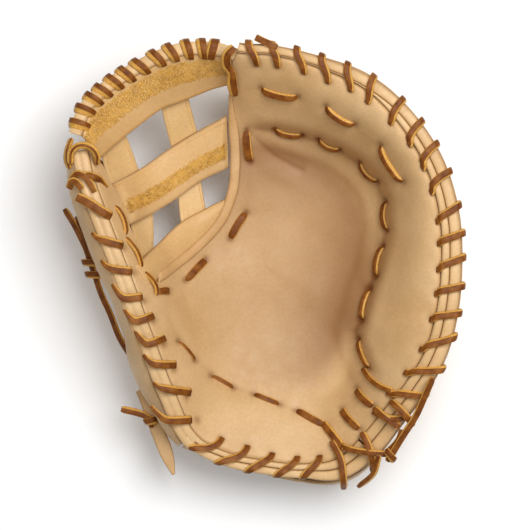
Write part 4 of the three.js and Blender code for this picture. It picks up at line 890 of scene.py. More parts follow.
def ramp(tree: Tree, source: Socket, *stops: tuple[float, str]) -> Socket:
    """A colour ramp over a number.

    Args:
        tree: the node tree.
        source: socket of the number.
        *stops: places and sRGB hex colours.

    Returns:
        The socket of the colour.
    """
    node = add_node(tree, "ShaderNodeValToRGB", links={0: source})
    bar = node.color_ramp
    while len(bar.elements) < len(stops):
        bar.elements.new(0.5)
    for element, (at, colour) in zip(bar.elements, stops):
        element.position, element.color = at, linear(colour)
    return node.outputs["Color"]


def noise(tree: Tree, where: Socket, size: float, detail: float) -> Socket:
    """Noise whose largest features are about size across, in millimetres. Returns its number socket."""
    settings = {"Scale": METRE / size, "Detail": detail}
    return add_node(tree, "ShaderNodeTexNoise", settings, {"Vector": where}).outputs["Fac"]


def blend(tree: Tree, factor: Socket, first: Socket, second: Socket) -> Socket:
    """A colour between two others, by a factor. Returns its socket."""
    node = add_node(tree, "ShaderNodeMix", {"data_type": "RGBA"}, {"Factor": factor, "A": first, "B": second})
    return node.outputs["Result"]


def spread(tree: Tree, source: Socket, ends: tuple[float, float],
           results: tuple[float, float] = (0.0, 1.0)) -> Socket:
    """A number carried from one range to another. Returns its socket."""
    settings = {"From Min": ends[0], "From Max": ends[1], "To Min": results[0], "To Max": results[1]}
    return add_node(tree, "ShaderNodeMapRange", settings, {"Value": source}).outputs["Result"]


def attribute(tree: Tree, name: str) -> Socket:
    """A piece's own marks. Returns their number socket."""
    return add_node(tree, "ShaderNodeAttribute", {"attribute_name": name}).outputs["Fac"]


def surface(name: str, settings: dict, paint: Callable | None = None) -> bpy.types.Material:
    """A material of one principled surface.

    Args:
        name: the material's name.
        settings: the surface's fixed inputs.
        paint: given the tree and the socket of the place on the object, the sockets for the other inputs.

    Returns:
        The material.
    """
    made = bpy.data.materials.new(name)
    made.use_nodes = True
    tree = made.node_tree
    tree.nodes.clear()
    links = paint(tree, add_node(tree, "ShaderNodeTexCoord").outputs["Object"]) if paint else {}
    skin = add_node(tree, "ShaderNodeBsdfPrincipled", settings, links)
    add_node(tree, "ShaderNodeOutputMaterial", links={"Surface": skin.outputs["BSDF"]})
    return made


@dataclass(frozen=True)
class Cowhide:
    """Drum-dyed cowhide with a fine pressed grain, waxed by hand: soft highlights, cloudy colour, and
    painted shade, mixed in by each piece's mark in folds, round holes, under edges and between parts."""

    name: str
    base: str = "#cfa977"
    light: str = "#d5b080"
    deep: str = "#c79f6c"
    # the colour that painted shade darkens towards
    shade_tone: str = "#744318"
    roughness: float = 0.52
    pore: float = 0.9  # millimetres between pores; real ones are 0.3, too fine to show
    relief: float = 0.07  # millimetres

    def paint(self, tree: Tree, where: Socket) -> dict[str, Socket]:
        """Clouds and flecks of colour, dense sewing, painted shade where the piece's mark asks for it, and a
        grain of pores.

        Args:
            tree: the node tree.
            where: socket of the place on the object.

        Returns:
            Sockets by the input that they feed.
        """
        colour = ramp(tree, noise(tree, where, 45, 3.0), (0.3, self.deep), (0.5, self.base), (0.7, self.light))
        speck = spread(tree, noise(tree, where, 2.2, 2.0), (0.3, 0.7), (0.94, 1.04))
        shade = add_node(tree, "ShaderNodeMix", {"data_type": "RGBA", "blend_type": "MULTIPLY", "Factor": 1.0},
                         {"A": colour, "B": speck}).outputs["Result"]
        thread = ramp(tree, noise(tree, where, 1.7, 2.0),
                      (0.33, "#b08346"), (0.4, "#d9ae6c"), (0.62, "#e8c274"))
        yellow = add_node(tree, "ShaderNodeMath", {"operation": "MULTIPLY", 1: 0.5},
                          {0: attribute(tree, "sewn")})
        sewn = blend(tree, yellow.outputs["Value"], shade, thread)
        # painted shade: the colour goes towards the shade tone as far as the piece's mark of painted shade says
        shade_mix = add_node(tree, "ShaderNodeMix", {"data_type": "RGBA"},
                       {"Factor": attribute(tree, "painted_shade"), "A": sewn})
        shade_mix.inputs["B"].default_value = linear(self.shade_tone)
        pores = add_node(tree, "ShaderNodeTexVoronoi", {"Scale": METRE / self.pore, "feature": "SMOOTH_F1"},
                         {"Vector": where})
        hills = noise(tree, where, 7, 4.0)
        rough = add_node(tree, "ShaderNodeMath", {"operation": "MULTIPLY_ADD", 1: 2.5},
                         {0: hills, 2: pores.outputs["Distance"]})
        grain = add_node(tree, "ShaderNodeBump", {"Strength": 0.35, "Distance": self.relief / METRE},
                         {"Height": rough.outputs["Value"]})
        gloss = spread(tree, hills, (0.3, 0.7), (self.roughness - 0.07, self.roughness + 0.08))
        return {"Base Color": shade_mix.outputs["Result"], "Roughness": gloss, "Normal": grain.outputs["Normal"]}

    def material(self) -> bpy.types.Material:
        """Builds the node material."""
        return surface(self.name, {"IOR": 1.47, "Specular IOR Level": 0.4}, self.paint)


@dataclass(frozen=True)
class Rawhide:
    """Oil-tanned rawhide lace, slit from a brown hide: smooth brown faces, and cut edges that show the
    pale golden middle of the hide."""

    name: str
    deep: str = "#663510"
    face: str = "#7b4515"
    worn: str = "#925a22"
    edge: str = "#bd8538"
    edge_light: str = "#dcab58"
    roughness: float = 0.48

    def paint(self, tree: Tree, where: Socket) -> dict[str, Socket]:
        """Streaks of brown, and gold where the lace is cut, with a ragged line between.

        Args:
            tree: the node tree.
            where: socket of the place on the object.

        Returns:
            Sockets by the input that they feed.
        """
        streak, fine = noise(tree, where, 6, 4.0), noise(tree, where, 1.1, 3.0)
        brown = ramp(tree, streak, (0.32, self.deep), (0.5, self.face), (0.72, self.worn))
        gold = ramp(tree, fine, (0.3, self.edge), (0.7, self.edge_light))
        ragged = add_node(tree, "ShaderNodeMath", {"operation": "MULTIPLY_ADD", 1: 0.25},
                          {0: fine, 2: attribute(tree, "cut")})
        crisp = spread(tree, ragged.outputs["Value"], (0.56, 0.7))
        grain = add_node(tree, "ShaderNodeBump", {"Strength": 0.4, "Distance": 0.1 / METRE}, {"Height": fine})
        return {"Base Color": blend(tree, crisp, brown, gold), "Normal": grain.outputs["Normal"]}

    def material(self) -> bpy.types.Material:
        """Builds the node material."""
        settings = {"IOR": 1.45, "Specular IOR Level": 0.2, "Roughness": self.roughness}
        return surface(self.name, settings, self.paint)


@dataclass(frozen=True)
class WaxedThread:
    """Waxed yellow sewing thread: a bright, slightly shiny strand."""

    name: str
    colour: str = "#d9a63a"
    shade: str = "#b98527"

    def paint(self, tree: Tree, where: Socket) -> dict[str, Socket]:
        """Slightly cloudy yellow."""
        return {"Base Color": ramp(tree, noise(tree, where, 5, 2.0), (0.35, self.shade), (0.65, self.colour))}

    def material(self) -> bpy.types.Material:
        """Builds the node material."""
        return surface(self.name, {"Roughness": 0.45}, self.paint)


# The mitt's parts


@dataclass
class Palm:
    """The padded palm, from the rim to the web's edge."""

    rows: int = 360
    columns: int = 116

    def form(self) -> Form:
        """A grid ruled from the rim to the web's edge, raised by the bowl and its relief.

        Returns:
            The palm as a closed wall.
        """
        turn = np.linspace(FINGER_TIP, THUMB_TIP, self.rows)
        rim = BOWL.edge(turn)[:, :2]
        row = through(RULINGS[:, 0], RULINGS[:, 1], turn)
        inner = np.stack(columns(CROTCH, row, 0, 1), axis=-1) * (HALF_X, HALF_Y)
        t = np.linspace(0, 1, self.columns)[None, :, None] ** 1.25
        plan = rim[:, None] * (1 - t) + inner[:, None] * t
        x, y = plan[..., 0], plan[..., 1]
        lift, painted_shade = RELIEF.at(x, y)
        return shell(BOWL.lifted(x, y, lift), BOWL.lifted(x, y, -BOWL.wall(x, y)), {"painted_shade": painted_shade})

    def build(self, hide: bpy.types.Material) -> None:
        made = piece("palm_leather", self.form(), hide, ("palm",))


@dataclass
class RimRolls:
    """The rolled bindings outside the palm's edge."""

    rows_per_degree: float = 2.6
    points: int = 29
    thumb_seam: float = 1.9  # depth of the seam along the thumb's wide roll, millimetres
    swell: float = 0.55  # how far a roll stands up between laces, millimetres
    pinch: float = 0.45  # how far a lace presses it down
    uneven: float = 0.18
    tight: float = 0.1  # how close the rolls lie to the palm and to each other, millimetres

    def roll(self, inner: Array, outer: Array, turn: Array, over: float, seam: float) -> Form:
        """One rolled strip: a half round top on straight sides, pinched where the laces cross.

        Args:
            inner: where its inner side lies outside the palm's edge, millimetres, at each turn.
            outer: where its outer side lies.
            turn: the turns of the rings.
            over: how far the round top hangs over beyond that.
            seam: depth of the seam along its middle, millimetres.

        Returns:
            The roll.
        """
        at, out, _ = BOWL.frame(turn)
        pull = pulls(turn, RIM_STITCHES, 1.5)
        swell = self.swell * (1 - pull) - self.pinch * pull + self.uneven * waves(turn * 2.3, 0 * turn, 26, 8)
        a = np.linspace(math.pi, 0, self.points)
        w = (1 - 0.98 * np.sign(np.cos(a)) * np.abs(np.cos(a)) ** 0.7) / 2
        h = np.abs(np.sin(a)) ** 0.62
        wide = inner[:, None] + (outer + over - inner)[:, None] * w
        middle = bump(w - 0.55, 0.045)
        high = (BINDING_TOP + 1.2 + swell)[:, None] * h - 1.2 - seam * middle
        skirt = np.array([outer, inner]).T - 0.3 * np.array([1, -1])
        wide = np.concatenate([wide, skirt], axis=1)
        high = np.concatenate([high, -BINDING_DEPTH + 0 * skirt], axis=1)
        rings = at[:, None] + out[:, None] * wide[..., None]
        rings[..., 2] += high
        # Painted shade down the sides of the round top, in the thumb roll's seam, on the skirts below and where
        # laces pinch the roll.
        painted_shade = np.concatenate([0.5 * (1 - h) ** 3 + 0.26 * seam * middle, [0.6, 0.6]]) + 0.12 * pull[:, None]
        return ropes(rings[None], {"painted_shade": np.clip(painted_shade, 0, 0.8)[None]})

    def turns(self, start: float, end: float) -> Array:
        """Rings between two turns."""
        return np.linspace(start, end, int((start - end) * self.rows_per_degree))

    def build(self, hide: bpy.types.Material) -> None:
        """Makes all five rolls.

        Args:
            hide: the finish.
        """
        turn = self.turns(FINGER_TIP, FINGER_END)
        room = BOWL.rim(BAND, turn) * BAND_WIDTH - BACK_WALL - 3 * GAP
        middle = self.tight + room * (0.54 - 0.36 * smooth(turn, 44, 60))
        rolls = {
            "finger_binding_inner": (0.0, turn, self.tight + 0 * turn, middle),
            "finger_binding_outer": (2.4, turn, middle + self.tight, GAP + room),
        }
        turn = self.turns(HEEL_START, HEEL_END - CORNER_REACH)
        each = np.maximum(HEEL_ROLL, (BOWL.rim(BAND, turn) * BAND_WIDTH - BACK_WALL - 3 * GAP) / 2)
        rolls["heel_binding_inner"] = (0.0, turn, self.tight + 0 * turn, GAP + each)
        rolls["heel_binding_outer"] = (1.4, turn, GAP + 0.15 + each, 2 * (GAP + each))
        turn = self.turns(THUMB_START + CORNER_REACH, THUMB_TIP)
        rolls["thumb_binding"] = (2.6, turn, self.tight + 0 * turn, GAP + THUMB_ROLL + 0 * turn)
        for name, (over, turn, inner, outer) in rolls.items():
            seam = self.thumb_seam if name == "thumb_binding" else 0.0
            piece(f"{name}_roll", self.roll(inner, outer, turn, over, seam), hide, (name,))


@dataclass
class Piping:
    """The light piping along the palm's edge at the web."""

    rows: int = 220
    start: float = 0.85  # rows of CROTCH between which it runs
    end: float = 8.0
    high: float = 0.36  # its height over the leather and its depth below, as shares of its width
    deep: float = 0.6
    thinned: float = 0.35  # its width at the start, as a share

    def build(self, hide: bpy.types.Material) -> None:
        """Makes the piping: a flat half round carried along the palm's inner edge.

        Args:
            hide: the finish.
        """
        row = np.linspace(self.start, self.end, self.rows)
        at = np.stack(columns(CROTCH, row, 0, 1), axis=-1) * (HALF_X, HALF_Y)
        along = unit(np.gradient(at, axis=0))
        out = np.stack([along[:, 1], -along[:, 0]], axis=-1)
        a = np.linspace(0, 2 * math.pi, 22, endpoint=False)
        w = (1 - np.cos(a)) / 2
        h = np.where(np.sin(a) > 0, self.high * np.abs(np.sin(a)) ** 0.7, -self.deep * np.abs(np.sin(a)) ** 0.6)
        end = np.minimum(1, np.sqrt(np.linspace(0, 1, self.rows)[::-1] / 0.05 + 0.03))
        end *= self.thinned + (1 - self.thinned) * smooth(row, self.start, self.start + 1.1)
        w = w[None, :] * end[:, None]
        plan = at[:, None] + out[:, None] * (w * (CROTCH_BINDING + 2 * GAP) - 0.15)[..., None]
        rise = h[None, :] * CROTCH_BINDING * end[:, None] + 0.25 * waves(row * 30, 0 * row, 25, 5)[:, None]
        rings = BOWL.lifted(plan[..., 0], plan[..., 1], rise)
        # Painted shade on the piping's underside and along one side of its top.
        painted_shade = np.broadcast_to(0.45 * (h < 0.05) + 0.2 * bump(a - 2.6, 0.3), rise.shape)
        form = ropes(rings[None], {"painted_shade": painted_shade[None]})
        piece("web_edge_piping", form, hide, ("crotch_binding",))


@dataclass
class BackLeather:
    """The leather under and round the mitt: finger back, wrist strap and thumb back."""

    rows_per_degree: float = 1.7
    columns: int = 90
    wrinkle: float = 0.45  # height, millimetres
    thinnest: float = 0.4  # of the wall where it is pressed on the floor, millimetres
    edge_shade: float = 0.4

    def curve(self, turn: Array, share: Array) -> Array:
        """The back's sections: rounded curves through stations that run from the rim's outside down and under.

        Args:
            turn: degrees round the rim, (T,).
            share: shares of the way down the section, (N,).

        Returns:
            Points, (T, N, 3), none below the floor.
        """
        x, y, edge, sole, top, bulge, flare = (through(BACK[:, 0], BACK[:, k], turn) for k in range(1, 8))
        at, out, _ = BOWL.frame(turn)
        flare, bulge = flare * BAND_WIDTH, bulge * BAND_WIDTH
        top, sole, edge = top * RIM_HEIGHT, sole * RIM_HEIGHT, edge * RIM_HEIGHT
        run = np.stack([x * HALF_X, y * HALF_Y], axis=-1) - at[..., :2]
        drop = top - sole
        belly = sum(far * bump(turn - middle, spread) for middle, far, spread in BELLIES)
        points = []
        for of_flare, of_bulge, of_belly, of_run, of_drop, of_rise in SECTION:
            away = flare * of_flare + bulge * of_bulge + belly * of_belly
            high = sole + drop * of_drop + (edge - sole) * of_rise
            plan = at[:, :2] + out[:, :2] * away[:, None] + run * of_run
            points.append(np.concatenate([plan, high[:, None]], axis=-1))
        points = np.stack(points, axis=1)
        line = rounded(points, share)
        line[..., 2] = np.maximum(line[..., 2], 0)
        return line

    def form(self, start: float, end: float) -> Form:
        """One panel as a wall, with soft wrinkles where it bends, a rolled edge, and painted shade along both
        long edges.

        Args:
            start: turn at which the panel starts, degrees.
            end: turn at which it ends.

        Returns:
            The panel.
        """
        turn = np.linspace(start, end, max(int((start - end) * self.rows_per_degree), 40))
        share = np.linspace(0, 1, self.columns)
        face = self.curve(turn, share)
        normal = unit(np.cross(np.gradient(face, axis=0), np.gradient(face, axis=1)))
        lining = face - normal * BACK_WALL
        s, t = np.broadcast_to(share[None], face.shape[:2]), np.broadcast_to(turn[:, None], face.shape[:2])
        bent = smooth(s, 0.03, 0.12) * (1 - smooth(s, 0.44, 0.5))  # the part that stands, between rim and floor
        wrinkle = self.wrinkle * waves(t * 2.2, s * 200, 34, 11) * bent
        rest = smooth(face[..., 2], 0.4, 4.0)  # none where the leather lies on the floor
        face = face + normal * (wrinkle * rest)[..., None]
        face[..., 2] = np.maximum(face[..., 2], 0)
        lining[..., 2] = np.maximum(lining[..., 2], self.thinnest)
        # Painted shade along both long edges: at the top under the rolls, and at the inner edge under the palm.
        painted_shade = self.edge_shade * (bump(s, 0.008) + bump(s - 1, 0.008))
        return shell(face, lining, {"painted_shade": painted_shade})

    def build(self, hide: bpy.types.Material) -> None:
        """Makes the three panels.

        Args:
            hide: the finish.
        """
        for name, start, end in (("finger_back", FINGER_TIP, FINGER_END), ("wrist_strap", HEEL_START, HEEL_END),
                                 ("thumb_back", THUMB_START, THUMB_TIP)):
            piece(f"{name}_leather", self.form(start, end), hide, (name,))


@dataclass
class Web:
    """The web: three bars, four posts, the bound upper edge and the thread that is sewn through them."""

    fine: int = 150
    edge_round: float = 0.9  # how far a bar's edges are rounded off, millimetres
    edge_share: float = 0.09  # and over what share of its width
    uneven: float = 0.12

    def plan(self, rows: Array, u: Array, v: float | Array) -> tuple[Array, Array]:
        """Plan positions, millimetres, at row numbers u along a bar and at shares v of the way across it."""
        ax, ay, bx, by = columns(rows, u, 0, 1, 2, 3)
        return (ax * (1 - v) + bx * v) * HALF_X, (ay * (1 - v) + by * v) * HALF_Y

    def wall(self, rows: Array, thick: float, crown: float, lift: float, across: int,
             sewn: tuple[float, float] = (2.0, 3.0)) -> Form:
        """A bar or post on the bowl between two edges, with its middle raised and its edges rounded.

        Args:
            rows: the edges in plan shares.
            thick: the wall.
            crown: how far its middle is raised.
            lift: its distance above the bowl.
            across: points across.
            sewn: the band across it that is sewn all over.

        Returns:
            The wall.
        """
        u = np.linspace(0, len(rows) - 1, self.fine)
        v = (1 - np.cos(np.linspace(0, math.pi, across))) / 2
        x, y = self.plan(rows, u[:, None], v)
        ends = (1 - smooth(np.minimum(u, u[-1] - u), 0, 0.22))[:, None]
        rise = crown * np.sin(math.pi * v) * (1 - 0.8 * ends) - 1.4 * ends * (crown > 0)
        edge = (1 - np.minimum(np.minimum(v, 1 - v) / self.edge_share, 1)) ** 2
        face = BOWL.lifted(x, y, lift + rise - self.edge_round * edge + self.uneven * waves(x, y, 30, 22))
        lining = BOWL.lifted(x, y, lift + rise * 0.5 - thick + self.edge_round * edge)
        # Painted shade on the rounded edges, and towards the ends where the bar or post goes under other
        # leather.
        painted_shade = 0.4 * edge**2 + 0.3 * ends**2
        band = smooth(v, sewn[0], sewn[0] + 0.1) * (1 - smooth(v, sewn[1] - 0.1, sewn[1]))
        return shell(face, lining, {"painted_shade": painted_shade, "sewn": np.broadcast_to(band, x.shape)})

    def frames(self, row: Array) -> tuple[Array, Array, Array]:
        """The upper edge with its level directions: the chord over a tenth of a row, and square to it.

        Args:
            row: row numbers of WEB_TOP.

        Returns:
            The edge, the direction out of it and the one along it.
        """
        last = len(WEB_TOP) - 1
        at, before, after = (
            BOWL.lifted(*self.plan(WEB_TOP, np.clip(row + step, 0, last), 0.0)) for step in (0, -0.05, 0.05))
        along = unit((after - before) * (1, 1, 0))
        out = np.stack([along[..., 1], -along[..., 0], 0 * along[..., 0]], axis=-1)
        return at, out, along

    def binding(self) -> Form:
        """The folded leather along the upper edge: a flattened tube, pinched at each lace.

        Returns:
            The binding.
        """
        row = np.linspace(0, len(WEB_TOP) - 1, 260)
        at, out, _ = self.frames(row)
        pull = pulls(row, WEB_STITCHES, 0.17)
        a = np.linspace(0, 2 * math.pi, 24, endpoint=False)
        w, h = 0.475 - 0.495 * np.cos(a), np.sin(a)
        high = np.where(h > 0, (BINDING_TOP + 0.4) * np.abs(h) ** 0.7, -4.8 * np.abs(h) ** 0.6)
        swell = (0.35 * (1 - pull) - 0.5 * pull)[:, None] * (h > 0)
        rings = at[:, None] + out[:, None] * (w * WEB_BINDING)[None, :, None]
        rings[..., 2] += high[None, :] + swell
        lean = (5.0 * np.clip(1 - row / 0.5, 0, 1))[:, None] * np.clip(w, 0.15, 1)[None]
        rings -= self.frames(row)[2][:, None] * lean[..., None]
        # Painted shade along the fold where the binding meets the bar, and where laces pinch it.
        painted_shade = 0.35 * bump(w, 0.12)[None, :] + 0.3 * pull[:, None]
        return ropes(rings[None], {"painted_shade": np.clip(painted_shade, 0, 0.7)[None]})

    def thread_rows(self, rows: Array, v: float, pitch: float, lift: float, crown: float) -> Array:
        """Running stitches along a bar, at even steps of its length.

        Args:
            rows: the bar's edges.
            v: how far across it they run, as a share.
            pitch: from one stitch to the next, millimetres.
            lift: the bar's distance above the bowl.
            crown: the bar's raised middle.

        Returns:
            The ends, (stitches, 2, 3).
        """
        u = np.linspace(0.02, len(rows) - 1.02, 900)
        x, y = self.plan(rows, u, v)
        gone = np.concatenate([[0], np.cumsum(np.hypot(np.diff(x), np.diff(y)))])
        at = np.arange(pitch / 2, gone[-1], pitch)
        ends = [np.interp(at + d, gone, c) for d in (-0.36 * pitch, 0.36 * pitch) for c in (x, y)]
        high = lift + crown * math.sin(math.pi * v)
        a, b = BOWL.lifted(ends[0], ends[1], high), BOWL.lifted(ends[2], ends[3], high)
        return np.stack([a, b], axis=1)

    def zigzag(self, rows: Array, low: float, high: float, crown: float, count: int, seed: int) -> Array:
        """Ends of dense zigzag sewing: slanting stitches scattered evenly over a band of a bar.

        Args:
            rows: the bar's edges.
            low: where the band starts, as a share across.
            high: where it ends.
            crown: the bar's raised middle.
            count: how many stitches.
            seed: picks their unevenness.

        Returns:
            The ends, (count, 2, 3).
        """
        rng = np.random.default_rng(seed)
        u = (np.arange(count) + rng.uniform(0, 1, count)) / count * (len(rows) - 1.14) + 0.07
        v = low + (high - low) * np.mod(np.arange(count) * 0.618034 + rng.uniform(-0.04, 0.04, count), 1)
        slant = np.where(rng.uniform(0, 1, count) < 0.5, -1, 1) * rng.uniform(0.5, 1.2, count)
        ends = []
        for way in (-1, 1):
            at, across = u + way * slant * 0.055, v + way * 0.034
            x, y = self.plan(rows, at, across)
            ends.append(BOWL.lifted(x, y, crown * np.sin(math.pi * across) + 0.1))
        return np.stack(ends, axis=1)

    def build(self, hide: bpy.types.Material, post: bpy.types.Material, binding: bpy.types.Material,
              thread: bpy.types.Material) -> None:
        """Makes the web's leather and its sewing.

        Args:
            hide: the bars' finish.
            post: the posts' finish.
            binding: the upper edge's finish.
            thread: the sewing's finish.
        """
        for name, (rows, crown, across, band) in WEB_BARS.items():
            form = self.wall(rows, WEB_WALL, crown, 0.0, across, band)
            piece(f"web_{name}_leather", form, hide, (f"web_{name}_bar",))
        piece("web_top_roll", self.binding(), binding, ("web_top_binding",))
        sewn = [self.zigzag(WEB_TOP, 0.14, 0.58, 1.0, 1100, 5),
                self.zigzag(WEB_MIDDLE, 0.46, 0.76, 3.0, 620, 6)]
        for name, (drop, rows) in POSTS.items():
            lift = -WEB_WALL - drop * GAP
            piece(f"{name}_leather", self.wall(rows, POST_WALL, 0.0, lift, 16), post, (name,))
            sewn += [self.thread_rows(rows, v, 2.4, lift, 0.0) for v in (0.12, 0.88)]
        sewn += [self.thread_rows(WEB_TOP, 0.93, 2.6, 0.0, 1.0)]
        sewn += [self.thread_rows(WEB_MIDDLE, 0.07, 2.6, 0.0, 3.0)]
        piece("web_sewing", stitches_of(np.concatenate(sewn), 0.42), thread)


def stitches_of(ends: Array, thick: float) -> Form:
    """Short thread stitches: six-sided rods, high in the middle and sunk at both ends.

    Args:
        ends: (S, 2, 3) where each stitch goes in and comes out.
        thick: the thread's thickness, millimetres.

    Returns:
        All the stitches as one mesh.
    """
    t = np.array([0.0, 0.2, 0.5, 0.8, 1.0])
    at = between(ends[:, 0], ends[:, 1], t)
    at[..., 2] += (np.array([-0.35, 0.1, 0.22, 0.1, -0.35]) * thick)[None]
    along = unit(ends[:, 1] - ends[:, 0])[:, None]
    side = unit(np.cross(along, np.array([0, 0, 1.0])))
    up = np.cross(side, along)
    a = np.linspace(0, 2 * math.pi, 6, endpoint=False)
    fat = thick / 2 * np.array([0.7, 1, 1, 1, 0.7])
    ring = side[:, :, None] * np.cos(a)[None, None, :, None] + up[:, :, None] * np.sin(a)[None, None, :, None]
    rings = at[:, :, None] + ring * fat[None, :, None, None]
    return ropes(rings, {"painted_shade": np.zeros(1)})


def lace_of(paths: Array, sides: Array, width: Array, skew: Array,
            thick: float | Array = LACE_THICK, both: bool = False) -> Form:
    """Flat rawhide laces carried along paths.

    The section is a strip with a slightly domed brown face. On one side the cut edge slopes outwards, so
    that it shows from above as a pale band; on the other it is upright, or slopes too.

    Args:
        paths: (S, N, 3) middles.
        sides: (S, N, 3) directions across.
        width: (S, N) or smaller, millimetres.
        skew: (S,) the sloping edge's share of the width, with the side that it is on as its sign.
        thick: the lace's thickness, a number or (S, N).
        both: whether both edges slope.

    Returns:
        All the laces as one mesh.
    """
    along = unit(np.gradient(paths, axis=1))
    side = unit(sides - along * np.sum(sides * along, axis=-1, keepdims=True))
    up = unit(np.cross(side, along))
    up = np.where((up[..., 2].sum(axis=1) < 0)[:, None, None], -up, up)
    share = np.clip(np.abs(skew), 0.03, 0.48)[:, None]
    near = share if both else 0 * share + 0.04
    left, right = near - 0.5, 0.5 - share
    flat = [left + (right - left) * f for f in (0.03, 0.25, 0.5, 0.75, 0.97)]
    none = 0 * left
    across = np.concatenate([
        none - 0.42, none - 0.5, (left - 0.5) / 2, left, *flat, right, (right + 0.5) / 2, right * 0.15 + 0.425,
        none + 0.5, none + 0.4, none], axis=1)
    high = np.array([-0.5, -0.3, 0.15, 0.42, 0.5, 0.55, 0.57, 0.55, 0.5, 0.42, 0.28, 0.02, -0.3, -0.5, -0.5])
    cut = np.array([0.9, 1, 1, 1, 0, 0, 0, 0, 0, 1, 1, 1, 1, 0.9, 0])
    sign = np.where(skew < 0, -1.0, 1.0)[:, None]
    full = np.broadcast_to(width, paths.shape[:2])[..., None, None]
    tall = np.broadcast_to(np.asarray(thick, float), paths.shape[:2])[..., None, None]
    rings = (paths[:, :, None] + side[:, :, None] * (across * sign)[:, None, :, None] * full
             + up[:, :, None] * high[None, None, :, None] * tall)
    return ropes(rings, {"cut": cut})


def beside(frame_of: Callable, turn: Array, out: float | Array, up: float) -> Array:
    """Points out of and above an edge.

    Args:
        frame_of: gives the edge, the way out of it and the way along it at each turn.
        turn: where along the edge, (S,).
        out: how far out, millimetres, one for all or one for each.
        up: how far up.

    Returns:
        The points, (S, 3).
    """
    at, away, _ = frame_of(turn)
    at = at + away * np.broadcast_to(out, turn.shape)[:, None]
    at[:, 2] += up
    return at


